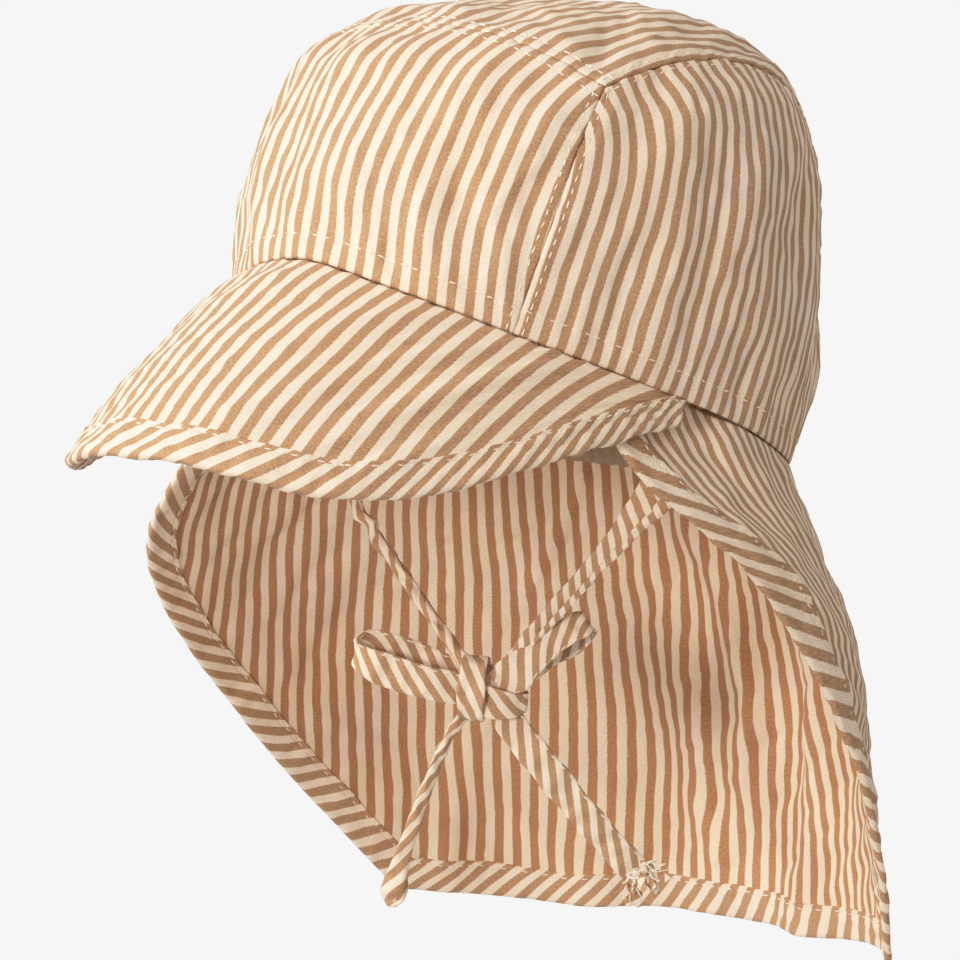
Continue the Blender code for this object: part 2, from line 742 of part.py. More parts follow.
def main():
    for obj in list(bpy.data.objects):
        bpy.data.objects.remove(obj, do_unlink=True)
    collection = bpy.data.collections.new("sun_hat")
    bpy.context.scene.collection.children.link(collection)
    make_crown(collection)
    make_peak(collection)
    make_flap(collection)
    make_casing(collection)
    make_tie(collection)


main()
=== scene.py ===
# %% [markdown]
# A child's sun hat in striped cotton: four crown panels, a soft peak, a long neck flap with bound
# edges, and a chin tie in a bow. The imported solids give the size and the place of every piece.
# This script puts cloth in their place: finer surfaces with seams, puckers and folds, woven
# stripes that follow the cut of each piece, and rows of stitches.

import bmesh
import bpy
import numpy as np
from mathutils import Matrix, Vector


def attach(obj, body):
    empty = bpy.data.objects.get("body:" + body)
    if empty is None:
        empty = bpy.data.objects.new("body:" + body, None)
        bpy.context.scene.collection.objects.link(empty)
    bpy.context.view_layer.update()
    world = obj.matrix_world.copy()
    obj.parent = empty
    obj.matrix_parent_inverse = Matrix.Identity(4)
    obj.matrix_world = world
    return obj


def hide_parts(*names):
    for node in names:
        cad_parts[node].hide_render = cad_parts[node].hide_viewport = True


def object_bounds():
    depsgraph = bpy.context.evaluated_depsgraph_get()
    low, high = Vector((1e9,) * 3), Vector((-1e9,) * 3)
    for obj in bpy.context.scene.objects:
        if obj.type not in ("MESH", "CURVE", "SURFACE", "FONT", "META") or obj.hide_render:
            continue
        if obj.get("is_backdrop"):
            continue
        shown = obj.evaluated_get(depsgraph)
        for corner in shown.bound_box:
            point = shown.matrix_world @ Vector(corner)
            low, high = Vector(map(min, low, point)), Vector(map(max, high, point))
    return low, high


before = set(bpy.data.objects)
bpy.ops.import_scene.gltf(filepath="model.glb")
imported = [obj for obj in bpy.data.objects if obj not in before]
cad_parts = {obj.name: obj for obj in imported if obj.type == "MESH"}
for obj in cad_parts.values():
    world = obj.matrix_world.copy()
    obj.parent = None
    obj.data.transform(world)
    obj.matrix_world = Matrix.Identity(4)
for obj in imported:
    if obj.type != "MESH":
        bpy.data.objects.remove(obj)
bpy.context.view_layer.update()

MM = 0.001

# %% [markdown]
# Four short helpers: an object for some data, a way to aim it, a mesh from a bmesh, and a material
# in one colour.

# %% Objects and plain materials


def add_object(name, data):
    obj = bpy.data.objects.new(name, data)
    bpy.context.scene.collection.objects.link(obj)
    return obj


def aim(obj, place, looks_at):
    """Puts a camera or a light at a place and turns it to another."""
    obj.location = place
    obj.rotation_mode = "QUATERNION"
    obj.rotation_quaternion = (Vector(looks_at) - Vector(place)).to_track_quat("-Z", "Y")


def filled(mesh, work):
    """Fills a mesh from a bmesh, which is freed, and shades it smooth."""
    work.to_mesh(mesh)
    work.free()
    mesh.shade_smooth()
    return mesh


def plain_material(name, colour, roughness, specular=0.2):
    material = bpy.data.materials.new(name)
    material.use_nodes = True
    shader = material.node_tree.nodes["Principled BSDF"]
    shader.inputs["Base Color"].default_value = (*colour, 1.0)
    shader.inputs["Roughness"].default_value = roughness
    shader.inputs["Specular IOR Level"].default_value = specular
    return material


print("helpers ready")

# %% [markdown]
# The camera stands a little above the rim, in front of the wearer's left cheek. A long lens at
# arm's length keeps the peak and the back of the hat at nearly the same scale.

# %% Camera
CAMERA_AT = (0.7867, -0.8893, 0.1777)
CAMERA_LOOKS_AT = (-0.0041, -0.0110, -0.0306)
LENS = 154.0

lens = bpy.data.cameras.new("camera")
lens.lens = LENS
lens.sensor_width = 36.0
lens.clip_start = 0.05
lens.clip_end = 30.0
camera = add_object("camera", lens)
aim(camera, CAMERA_AT, CAMERA_LOOKS_AT)
bpy.context.scene.camera = camera
print("camera", CAMERA_AT, "lens", LENS)

# %% [markdown]
# A worn hat has no table under it, so the floor lies well below. Floor and wall are one pale
# round sheet with a wide bend between them, which leaves no horizon behind the hat from any side.
# It glows by itself and throws no light on the hat, as a studio sweep is lit on its own.

# %% Floor and backdrop
FLOOR = -0.90
SWEEP_RADIUS = 4.6
SWEEP_BEND = 1.4
SWEEP_SIDES = 96
SWEEP_STEPS = 24
WALL_TOP = 5.0
PAPER_GLOW = (1.135, 1.135, 1.135, 1.0)


def sweep_profile():
    """Reach and height of the sheet from near the middle of the floor, round the bend, up the wall."""
    points = [(0.05, FLOOR), (SWEEP_RADIUS - SWEEP_BEND, FLOOR)]
    for turn in np.pi / 2 * np.arange(1, SWEEP_STEPS + 1) / SWEEP_STEPS:
        reach = SWEEP_RADIUS - SWEEP_BEND * (1 - np.sin(turn))
        points.append((reach, FLOOR + SWEEP_BEND * (1 - np.cos(turn))))
    return points + [(SWEEP_RADIUS, WALL_TOP)]


sheet = bmesh.new()
turns = 2 * np.pi * np.arange(SWEEP_SIDES) / SWEEP_SIDES
rings = []
for reach, height in sweep_profile():
    rings.append([sheet.verts.new((reach * np.cos(turn), reach * np.sin(turn), height)) for turn in turns])
for low, high in zip(rings, rings[1:]):
    for k in range(SWEEP_SIDES):
        n = (k + 1) % SWEEP_SIDES
        sheet.faces.new((low[k], low[n], high[n], high[k]))
sheet.faces.new(rings[0])
paper = plain_material("studio_paper", (0.0, 0.0, 0.0), 1.0, specular=0.0)
glow = paper.node_tree.nodes["Principled BSDF"]
glow.inputs["Emission Color"].default_value = PAPER_GLOW
glow.inputs["Emission Strength"].default_value = 1.0
studio = add_object("studio_sweep", filled(bpy.data.meshes.new("studio_sweep"), sheet))
studio.data.materials.append(paper)
studio.visible_diffuse = False
studio.visible_glossy = False
studio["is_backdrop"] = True
print("floor at", FLOOR)

# %% [markdown]
# One big soft light from the front and the left makes the crown and the peak bright, a second one
# above evens them, and one straight in front shines under the peak into the hollow. The world
# fills the shade. The film answers softly: bright cloth is held back before it turns white.

# %% Lights
# name, place, the place it faces, size in metres, power in watts, colour
LAMPS = (
    ("key", (-0.95, -1.35, 0.80), (0, 0, 0), 0.50, 21.0, (1.0, 0.96, 0.92)),
    ("overhead", (0.10, -0.80, 1.5), (0, 0, 0), 0.6, 4.5, (1.0, 0.965, 0.93)),
    ("front", (0.38, -1.50, 0.24), (0, 0, -0.06), 0.3, 11.8, (1.0, 0.955, 0.91)),
)
for name, place, looks_at, size, power, colour in LAMPS:
    light = bpy.data.lights.new(name, "AREA")
    light.shape = "DISK"
    light.size = size
    light.energy = power
    light.color = colour
    aim(add_object(name, light), place, looks_at)

world = bpy.data.worlds.new("studio_air")
world.use_nodes = True
air = world.node_tree.nodes["Background"]
air.inputs["Color"].default_value = (1.0, 0.985, 0.965, 1.0)
air.inputs["Strength"].default_value = 0.54
bpy.context.scene.world = world

# light that reaches the film, and how bright it shows; the curve ends at WHITE
FILM = ((0.10, 0.092), (0.20, 0.19), (0.35, 0.345), (0.50, 0.50), (0.65, 0.64), (0.80, 0.755),
        (1.00, 0.87), (1.25, 0.95), (1.50, 0.985))
WHITE = 2.0
view = bpy.context.scene.view_settings
view.view_transform = "Standard"
view.use_curve_mapping = True
view.curve_mapping.white_level = (WHITE, WHITE, WHITE)
film = view.curve_mapping.curves[3]
for bright, shown in FILM:
    film.points.new(bright / WHITE, shown)
view.curve_mapping.update()

# %% [markdown]
# The hat's shapes follow a few named sizes and short tables: the oval of the head opening, three
# profiles of the crown, the outer edge of the peak and the hang of the flap. They are the same
# rules that the solids were made from, so the cloth lies where the solids are.

# %% Sizes of the hat
HEAD_WIDTH = 0.150
HEAD_LENGTH = 0.178
CROWN_HEIGHT = 0.1077
CROWN_SET_BACK = 0.0142
RIM_RISE = 0.0418
CLOTH = 0.0015
SEAM_GAP = 0.0007
PEAK_LENGTH = 0.080
PEAK_HALF_ANGLE = 82.0
PEAK_ARCH = 0.0048
FLAP_DROP = 0.185
FLAP_HALF_ANGLE = 118.0
FLAP_TUCK = 0.0055
BINDING = 0.0100
BINDING_THICKNESS = 0.0026

# degrees from the front, height as a share of the rise
RIM_HEIGHTS = ((0, 1.00), (25, 0.82), (50, 0.50), (90, -0.09), (135, -0.71), (180, -0.83))
# place on the disc, then reach and rise for the front, the side and the back of the crown; reach is
# a share of the rim's, rise a share of the way to the apex
CROWN = (
    (0.0, 0.000, 1.000, 0.000, 1.000, 0.000, 1.000),
    (0.2, 0.440, 0.990, 0.480, 0.978, 0.430, 0.967),
    (0.4, 0.750, 0.870, 0.838, 0.856, 0.798, 0.885),
    (0.6, 0.890, 0.665, 0.980, 0.657, 1.030, 0.669),
    (0.8, 0.984, 0.362, 1.032, 0.305, 1.092, 0.341),
    (0.92, 0.998, 0.145, 1.026, 0.122, 1.066, 0.136),
    (1.0, 1.000, 0.000, 1.000, 0.000, 1.000, 0.000),
)
PANEL_CORNER = (0.417, -0.241)
FRONT_SEAM_BEND = (0.570, -0.410)
FRONT_SEAM_ANGLE = 46.0
# share of the seam, across the disc, back on the disc
TOP_SEAM = (
    (0.00, 0.417, -0.241),
    (0.25, 0.378, -0.060),
    (0.50, 0.378, 0.160),
    (0.75, 0.430, 0.460),
    (1.00, 0.574, 0.819),
)
TOP_SEAM_BOW = 0.042
BACK_SEAM_ANGLE = 145.0
SIDE_TIP_WIDTH = 0.0016
# share, sideways, forwards, down left, down right
PEAK_EDGE = (
    (0.0, 0.000, 0.838, 0.555, 0.555),
    (0.2, 0.095, 0.790, 0.535, 0.580),
    (0.4, 0.140, 0.645, 0.540, 0.580),
    (0.6, 0.120, 0.463, 0.415, 0.450),
    (0.8, 0.075, 0.238, 0.225, 0.250),
    (1.0, 0.010, 0.050, 0.055, 0.055),
)
# share, angle at each level, reach at each level, drop
FLAP_LEVELS = (0.0, 0.12, 0.36, 0.68, 1.0)
FLAP_HANG = (
    (0.00, -113, -84, -62, -50, 1.09, 1.16, 1.325, 1.40, 0.968),
    (0.17, -72, -60, -45, -38, 1.08, 1.25, 1.310, 1.35, 0.973),
    (0.33, -38, -33, -26, -22, 1.07, 1.19, 1.230, 1.20, 0.995),
    (0.50, 0, 0, 0, 0, 1.03, 1.12, 1.180, 1.20, 1.005),
    (0.67, 38, 32, 25, 20, 1.05, 1.18, 1.250, 1.24, 1.016),
    (0.83, 76, 68, 56, 42, 1.09, 1.38, 1.450, 1.36, 1.027),
    (1.00, 116.8, 108, 89, 65, 1.14, 1.56, 1.560, 1.49, 1.000),
)
# share round, half width, depth as a share of the drop, from, to
FLAP_FOLDS = (
    (0.27, 0.040, 0.012, 0.25, 1.00),
    (0.34, 0.032, -0.024, 0.05, 0.80),
    (0.41, 0.035, 0.018, 0.25, 1.05),
    (0.55, 0.045, -0.016, 0.10, 0.80),
    (0.64, 0.040, 0.018, 0.35, 1.05),
    (0.76, 0.050, -0.024, 0.40, 1.30),
    (0.86, 0.045, 0.014, 0.30, 1.05),
)
print("head opening", HEAD_WIDTH, "by", HEAD_LENGTH)

# %% [markdown]
# A table holds a few measured places, and a smooth curve runs through them. That keeps each shape
# readable as a short list of sizes.

# %% Curves through tables


def through(x, rows, column, flat_start=False, flat_end=False):
    """A smooth curve through one column of a table whose first column is x."""
    table = np.array(rows, float)
    places = table[:, 0]
    values = table[:, column]
    slopes = np.gradient(values, places)
    if flat_start:
        slopes[0] = 0.0
    if flat_end:
        slopes[-1] = 0.0
    return hermite(np.asarray(x, float), places, values, slopes)


def hermite(x, places, values, slopes):
    i = np.clip(np.searchsorted(places, x) - 1, 0, len(places) - 2)
    step = places[i + 1] - places[i]
    t = np.clip((x - places[i]) / step, 0.0, 1.0)
    if values.ndim > 1:
        near, far = [np.take_along_axis(values, k[..., None], -1)[..., 0] for k in (i, i + 1)]
        rise_near, rise_far = [np.take_along_axis(slopes, k[..., None], -1)[..., 0] for k in (i, i + 1)]
    else:
        near, far, rise_near, rise_far = values[i], values[i + 1], slopes[i], slopes[i + 1]
    start = (2 * t**3 - 3 * t**2 + 1) * near + (t**3 - 2 * t**2 + t) * step * rise_near
    return start + (3 * t**2 - 2 * t**3) * far + (t**3 - t**2) * step * rise_far


def between(x, places, values):
    """A smooth curve through one array of values at each place, for every x."""
    places = np.array(places, float)
    values = np.stack(values, axis=-1)
    return hermite(x, places, values, np.gradient(values, places, axis=-1))


def smooth(x, low, high):
    t = np.clip((np.asarray(x, float) - low) / (high - low), 0.0, 1.0)
    return t * t * (3 - 2 * t)


def stack(x, y, z):
    return np.stack(np.broadcast_arrays(x, y, z), axis=-1)


def unit(vectors):
    return vectors / np.maximum(np.linalg.norm(vectors, axis=-1, keepdims=True), 1e-12)


# %% [markdown]
# From the tables come four surfaces: the crown over its oval, the seams drawn on it, the peak that
# bends out from the front of the rim, and the flap with its long folds that hangs from the back.

# %% Rim, crown, peak and flap


def rim_point(angle):
    angle = np.asarray(angle, float)
    from_front = np.degrees(np.abs((angle + np.pi) % (2 * np.pi) - np.pi))
    height = RIM_RISE * through(from_front, RIM_HEIGHTS, 1, True, True)
    return stack(HEAD_WIDTH / 2 * np.sin(angle), -HEAD_LENGTH / 2 * np.cos(angle), height)


def crown_point(across, back):
    radius = np.hypot(across, back)
    angle = np.arctan2(across, -np.asarray(back, float))
    weights = (np.maximum(np.cos(angle), 0) ** 2, np.sin(angle) ** 2, np.maximum(-np.cos(angle), 0) ** 2)
    reach = sum(weight * through(radius, CROWN, 1 + 2 * k) for k, weight in enumerate(weights))
    rise = sum(weight * through(radius, CROWN, 2 + 2 * k, True) for k, weight in enumerate(weights))
    rim = rim_point(angle)
    height = rim[..., 2] * (1 - rise) + CROWN_HEIGHT * rise
    return stack(rim[..., 0] * reach, rim[..., 1] * reach + CROWN_SET_BACK * rise, height)


def bend(start, middle, end, t):
    t = np.asarray(t, float)[..., None]
    return (1 - t) ** 2 * np.array(start) + 2 * t * (1 - t) * np.array(middle) + t**2 * np.array(end)


def on_rim(degrees):
    angle = np.radians(np.asarray(degrees, float))
    return np.stack([np.sin(angle), -np.cos(angle)], axis=-1)


def front_seam(v, side):
    return bend(on_rim(FRONT_SEAM_ANGLE), FRONT_SEAM_BEND, PANEL_CORNER, v) * np.array([side, 1.0])


def top_seam(v, side):
    places = np.stack([through(v, TOP_SEAM, 1), through(v, TOP_SEAM, 2)], axis=-1)
    foot = on_rim(BACK_SEAM_ANGLE) - np.array(TOP_SEAM[-1][1:])
    return (places + foot * np.asarray(v, float)[..., None] ** 2) * np.array([side, 1.0])


def crest_seam(u):
    off_middle = 2 * np.asarray(u, float) - 1
    back = PANEL_CORNER[1] - TOP_SEAM_BOW * (1 - off_middle**2)
    return np.stack([PANEL_CORNER[0] * off_middle, back], axis=-1)


def patch(left, right, low, high):
    """Places on the disc inside four seam curves that share their ends."""

    def places(u, v):
        u1 = np.asarray(u, float)[..., None]
        v1 = np.asarray(v, float)[..., None]
        zero = np.zeros_like(u1[..., 0])
        one = np.ones_like(zero)
        found = (1 - u1) * left(v) + u1 * right(v) + (1 - v1) * low(u) + v1 * high(u)
        found = found - (1 - u1) * (1 - v1) * low(zero) - u1 * (1 - v1) * low(one)
        return found - (1 - u1) * v1 * high(zero) - u1 * v1 * high(one)

    return places


def peak_point(share, t):
    share = np.asarray(share, float)
    t = np.asarray(t, float)[..., None]
    place = np.abs(share)
    rim = rim_point(np.radians(PEAK_HALF_ANGLE * share))
    forwards = through(place, PEAK_EDGE, 2, True)
    down = np.where(share > 0, through(place, PEAK_EDGE, 3, True), through(place, PEAK_EDGE, 4, True))
    run = PEAK_LENGTH * stack(np.sign(share) * through(place, PEAK_EDGE, 1), -forwards, -down)
    length = np.linalg.norm(run, axis=-1)
    arch = PEAK_ARCH * (length / PEAK_LENGTH)[..., None] * 4 * t * (1 - t)
    return rim + run * t + arch * np.array([0.0, -0.5, 0.86])


def flap_fold(share, t):
    push = 0.0
    for centre, half, depth, start, stop in FLAP_FOLDS:
        shape = np.exp(-(((share - centre) / half) ** 2))
        grown = smooth(t, start, start + 0.3) * (1 - 0.6 * smooth(t, stop - 0.25, stop))
        push = push + depth * shape * grown
    return FLAP_DROP * push


def flap_point(share, t):
    share, t = np.broadcast_arrays(np.asarray(share, float), np.asarray(t, float))
    rim_turn = FLAP_HALF_ANGLE * (2 * share - 1)
    levels = len(FLAP_LEVELS) - 1
    turns = [rim_turn] + [through(share, FLAP_HANG, 1 + k) for k in range(levels)]
    reaches = [np.ones_like(share)] + [through(share, FLAP_HANG, 1 + levels + k) for k in range(levels)]
    angle = np.radians(180 + between(t, FLAP_LEVELS, turns))
    reach = between(t, FLAP_LEVELS, reaches)
    rim = rim_point(np.radians(180 + rim_turn))
    from_front = 180 - np.abs(rim_turn)
    beside_peak = 1 - smooth(from_front, PEAK_HALF_ANGLE + 2, PEAK_HALF_ANGLE + 16)
    tuck = FLAP_TUCK * beside_peak * (1 - smooth(t, 0.06, 0.25))
    behind_crown = CLOTH + BINDING_THICKNESS / 2 + SEAM_GAP
    top = rim[..., 2] - SEAM_GAP + 0.5 * np.maximum(tuck - behind_crown, 0.0)
    hem = -FLAP_DROP * through(share, FLAP_HANG, 1 + 2 * levels)
    out = unit(stack(np.sin(angle), -np.cos(angle), 0.0))
    across = HEAD_WIDTH / 2 * np.sin(angle) * reach
    back = -HEAD_LENGTH / 2 * np.cos(angle) * reach
    return stack(across, back, top + (hem - top) * t) + out * (flap_fold(share, t) - tuck)[..., None]


def flap_margin(share, t, along_share):
    """Share of the flap that the binding's width covers at an edge."""
    h = 1e-3
    share = np.clip(share, h, 1 - h)
    t = np.clip(t, h, 1 - h)
    du = (flap_point(share + h, t) - flap_point(share - h, t)) / (2 * h)
    dv = (flap_point(share, t + h) - flap_point(share, t - h)) / (2 * h)
    area = np.linalg.norm(np.cross(du, dv), axis=-1)
    return BINDING * np.linalg.norm(dv if along_share else du, axis=-1) / area


print("apex at", np.round(crown_point(0.0, 0.0), 4), "peak's tip at", np.round(peak_point(0.0, 1.0), 4))

# %% [markdown]
# Crumples in thin cotton have no fixed rhythm, yet they must come out the same on each run. A sum
# of waves with seeded directions and lengths gives that: it is smooth, cheap, and needs no image.

# %% Crumples


def ripples(x, y, size, seed, stretch=1.0, count=14):
    """Smooth noise with a spread of 1; size is the wavelength, stretch draws it out along y."""
    random = np.random.default_rng(seed)
    total = 0.0
    for _ in range(count):
        turn = random.uniform(0, np.pi)
        wave = size * random.uniform(0.65, 1.6)
        phase = random.uniform(0, 2 * np.pi)
        total = total + np.cos(2 * np.pi * (x * np.cos(turn) + y * np.sin(turn) / stretch) / wave + phase)
    return total * np.sqrt(2 / count)


def creases(x, y, size, seed, stretch=1.0):
    """Like ripples, with sharp ridges and flat ground between them."""
    return 1 - 2 * np.abs(np.tanh(1.2 * ripples(x, y, size, seed, stretch)))


sample = np.random.default_rng(1).random((2, 4000))
print("spread of ripples", round(float(np.std(ripples(*sample, 0.02, 3))), 2))

# %% [markdown]
# Every flat piece is a grid of points bent to its surface. Distances measured along the grid tell
# how far each point lies from the four edges, which places seams and stitches, and how far across
# the cloth it lies, which places the stripes. That second measure is kept as a UV map in metres.

# %% Cloth grids


def arc(points, axis):
    """Distance run along one axis of a line or a grid of points, from its start."""
    steps = np.linalg.norm(np.diff(points, axis=axis), axis=-1)
    run = np.cumsum(steps, axis=axis)
    first = np.zeros_like(np.take(run, [0], axis=axis))
    return np.concatenate([first, run], axis=axis)


def tangents(line):
    return unit(np.gradient(line, axis=0))


def grid_normals(points):
    du = np.gradient(points, axis=1)
    dv = np.gradient(points, axis=0)
    return unit(np.cross(du, dv))


class Grid:
    """A bent sheet: points, outward normals, and distances from its four edges, in metres."""

    def __init__(self, surface, columns, rows):
        self.u, self.v = np.meshgrid(np.linspace(0, 1, columns + 1), np.linspace(0, 1, rows + 1))
        self.points = surface(self.u, self.v)
        self.normals = grid_normals(self.points)
        self.from_left = arc(self.points, 1)
        self.from_low = arc(self.points, 0)
        self.from_right = self.from_left[:, -1:] - self.from_left
        self.from_high = self.from_low[-1:, :] - self.from_low

    def push(self, height):
        """Moves the sheet along its normals, and reads the normals again."""
        self.points = self.points + self.normals * height[..., None]
        self.normals = grid_normals(self.points)

    def at(self, u, v):
        """Point and normal of the pushed sheet anywhere between its lines."""
        rows, columns = self.u.shape
        x = np.clip(np.asarray(u, float), 0, 1) * (columns - 1)
        y = np.clip(np.asarray(v, float), 0, 1) * (rows - 1)
        i, j = np.minimum(y.astype(int), rows - 2), np.minimum(x.astype(int), columns - 2)
        fy, fx = (y - i)[..., None], (x - j)[..., None]

        def mixed(a):
            low = a[i, j] * (1 - fx) + a[i, j + 1] * fx
            return low * (1 - fy) + (a[i + 1, j] * (1 - fx) + a[i + 1, j + 1] * fx) * fy

        return mixed(self.points), unit(mixed(self.normals))


def grid_mesh(name, points, cloth_map, closed_round=False, caps=False):
    """A mesh of quads from a grid of points, with the cloth's own places as its UV map."""
    rows, columns = points.shape[:2]
    wide = columns if closed_round else columns - 1
    i, j = np.meshgrid(np.arange(rows - 1), np.arange(wide), indexing="ij")
    k = (j + 1) % columns
    faces = np.stack([i * columns + j, i * columns + k, (i + 1) * columns + k, (i + 1) * columns + j], -1)
    corners = np.stack([i * (wide + 1) + j, i * (wide + 1) + j + 1], -1)
    corners = np.concatenate([corners, corners[..., ::-1] + wide + 1], -1)
    faces = faces.reshape(-1, 4).tolist()
    corners = corners.reshape(-1).tolist()
    if caps:
        last = rows * columns
        faces = faces + [list(range(columns))[::-1], list(range(last - columns, last))]
        first_row = list(range(columns))
        corners = corners + first_row[::-1] + [(rows - 1) * (wide + 1) + c for c in first_row]
    mesh = bpy.data.meshes.new(name)
    mesh.from_pydata(points.reshape(-1, 3), [], faces)
    layer = mesh.uv_layers.new(name="cloth")
    flat = cloth_map.reshape(-1, 2)[corners]
    layer.data.foreach_set("uv", flat.astype(np.float32).ravel())
    mesh.shade_smooth()
    return mesh


def add_piece(name, mesh, material, nodes=(), thickness=0.0, inside=None):
    """A shown piece in place of its solids; it rides on the hat's one body."""
    mesh.materials.append(material)
    if inside:
        mesh.materials.append(inside)
    obj = add_object(name + "_cloth" if nodes else name, mesh)
    if thickness:
        solid = obj.modifiers.new("thickness", "SOLIDIFY")
        solid.thickness = thickness
        solid.offset = -1.0
        solid.material_offset = 1 if inside else 0
    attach(obj, "root")
    if nodes:
        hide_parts(*nodes)
    return obj


print("grid helpers ready")

# %% [markdown]
# The cloth is a twill woven from brown and cream yarns, so its stripes are crisp, with a fine
# sawtooth where the two meet, and a hatch of tiny slanted floats all over, which is painted as
# highlight on the raised yarns and shade in the gaps. The washed cotton has drawn up unevenly,
# which makes the stripes waver. A shader group does this once for every piece: it reads the
# cloth's own places in metres, bends them a little, and cuts them into stripes.

# %% Shader group for the striped twill
STRIPE = 0.0055
FLOAT = 0.00030
BROWN = (0.48, 0.28, 0.153)
CREAM = (0.905, 0.722, 0.56)


class Wires:
    """Short ways to add the nodes that the groups and materials below are made of."""

    def __init__(self, tree):
        self.tree = tree

    def join(self, value, socket):
        if hasattr(value, "is_output"):
            self.tree.links.new(value, socket)
        else:
            socket.default_value = value

    def put(self, kind, links=(), **settings):
        """Adds a node; links has values or outputs for its first inputs, or for those it names."""
        node = self.tree.nodes.new(kind)
        for key, value in settings.items():
            setattr(node, key, value)
        for socket, value in links.items() if isinstance(links, dict) else enumerate(links):
            self.join(value, node.inputs[socket])
        return node

    def math(self, operation, *values):
        return self.put("ShaderNodeMath", values, operation=operation).outputs[0]

    def plus(self, a, b):
        return self.math("ADD", a, b)

    def minus(self, a, b):
        return self.math("SUBTRACT", a, b)

    def times(self, a, b):
        return self.math("MULTIPLY", a, b)

    def scaled(self, a, factor, added):
        return self.math("MULTIPLY_ADD", a, factor, added)

    def noise(self, vector, scale, detail):
        links = {"Scale": scale, "Detail": detail, "Vector": vector}
        return self.minus(self.put("ShaderNodeTexNoise", links).outputs["Fac"], 0.5)

    def ramp(self, value, low, high):
        """A smooth rise from 0 at low to 1 at high."""
        links = (value, low, high, 0.0, 1.0)
        return self.put("ShaderNodeMapRange", links, interpolation_type="SMOOTHSTEP").outputs[0]

    def mix(self, factor, a, b, blend="MIX"):
        links = {0: factor, 6: a, 7: b}
        return self.put("ShaderNodeMix", links, data_type="RGBA", blend_type=blend).outputs[2]


def striped_twill():
    group = bpy.data.node_groups.new("striped_twill", "ShaderNodeTree")
    for title, kind in (("Place", "Vector"), ("Brown share", "Float"), ("Waver", "Float")):
        group.interface.new_socket(title, in_out="INPUT", socket_type="NodeSocket" + kind)
    for title in ("Brown", "Cream"):
        group.interface.new_socket(title, in_out="INPUT", socket_type="NodeSocketColor")
    for title, kind in (("Color", "Color"), ("Height", "Float")):
        group.interface.new_socket(title, in_out="OUTPUT", socket_type="NodeSocket" + kind)
    w = Wires(group)
    given = w.put("NodeGroupInput").outputs
    place, waver = given["Place"], given["Waver"]
    split = w.put("ShaderNodeSeparateXYZ", [place])
    across, along = split.outputs[0], split.outputs[1]
    stretched = w.put("ShaderNodeCombineXYZ", (w.times(across, 0.55), along, 0.0)).outputs[0]
    slow = w.noise(stretched, 38.0, 0.0)
    quick = w.noise(stretched, 130.0, 1.0)
    bent = w.scaled(slow, w.times(waver, 3.0), across)
    bent = w.scaled(quick, waver, bent)
    # the sawtooth comes from weft yarns that float past the stripe's edge by turns
    weft = w.math("DIVIDE", along, FLOAT)
    warp = w.math("DIVIDE", across, FLOAT)
    tooth = w.math("PINGPONG", w.plus(weft, w.times(warp, 0.35)), 1.0)
    tooth = w.times(w.minus(tooth, 0.5), 0.00022)
    speck = w.noise(place, 1700.0, 0.0)
    tooth = w.scaled(speck, 0.00022, tooth)
    phase = w.math("DIVIDE", w.plus(bent, tooth), STRIPE)
    from_middle = w.math("ABSOLUTE", w.minus(w.math("FRACT", phase), 0.5))
    half_width = w.scaled(quick, 0.05, w.times(given["Brown share"], 0.5))
    brown = w.ramp(w.minus(half_width, from_middle), -0.018, 0.018)
    # slanted floats: painted highlight on the raised yarns and painted shade in the gaps
    slant = w.math("SINE", w.times(w.plus(weft, warp), np.pi))
    cross = w.math("SINE", w.times(w.minus(w.times(weft, 1.7), warp), np.pi))
    weave = w.scaled(cross, 0.35, w.times(slant, 0.65))
    painted_shade_and_mottle = w.scaled(weave, w.scaled(brown, 0.08, 0.05), 1.0)
    # fine specks and soft mottling of the yarns' own uneven tone
    painted_shade_and_mottle = w.scaled(speck, w.scaled(brown, 0.45, 0.30), painted_shade_and_mottle)
    painted_shade_and_mottle = w.scaled(w.noise(place, 60.0, 1.0), 0.14, painted_shade_and_mottle)
    colour = w.mix(brown, given["Cream"], given["Brown"])
    grey = w.put("ShaderNodeCombineColor", (painted_shade_and_mottle, painted_shade_and_mottle, painted_shade_and_mottle)).outputs[0]
    colour = w.mix(1.0, colour, grey, "MULTIPLY")
    # a warm or cool cast that drifts over the cloth, as in garment-dyed cotton
    cast = w.mix(w.ramp(slow, -0.3, 0.3), (1.02, 0.99, 0.95, 1), (0.99, 1.0, 1.02, 1))
    colour = w.mix(0.7, colour, w.mix(1.0, colour, cast, "MULTIPLY"))
    w.put("NodeGroupOutput", {"Color": colour, "Height": w.scaled(speck, 0.9, weave)})
    return group


STRIPED = striped_twill()
print("shader group", STRIPED.name, "with", len(STRIPED.nodes), "nodes")

# %% [markdown]
# A material places the group on one kind of piece. Panels carry the stripes straight along the
# grain. Bindings, straps and the bow are cut on the bias, so their maps are turned across the
# strip. The weave also raises the surface a hair, by way of a Bump node.

# %% Cloth materials


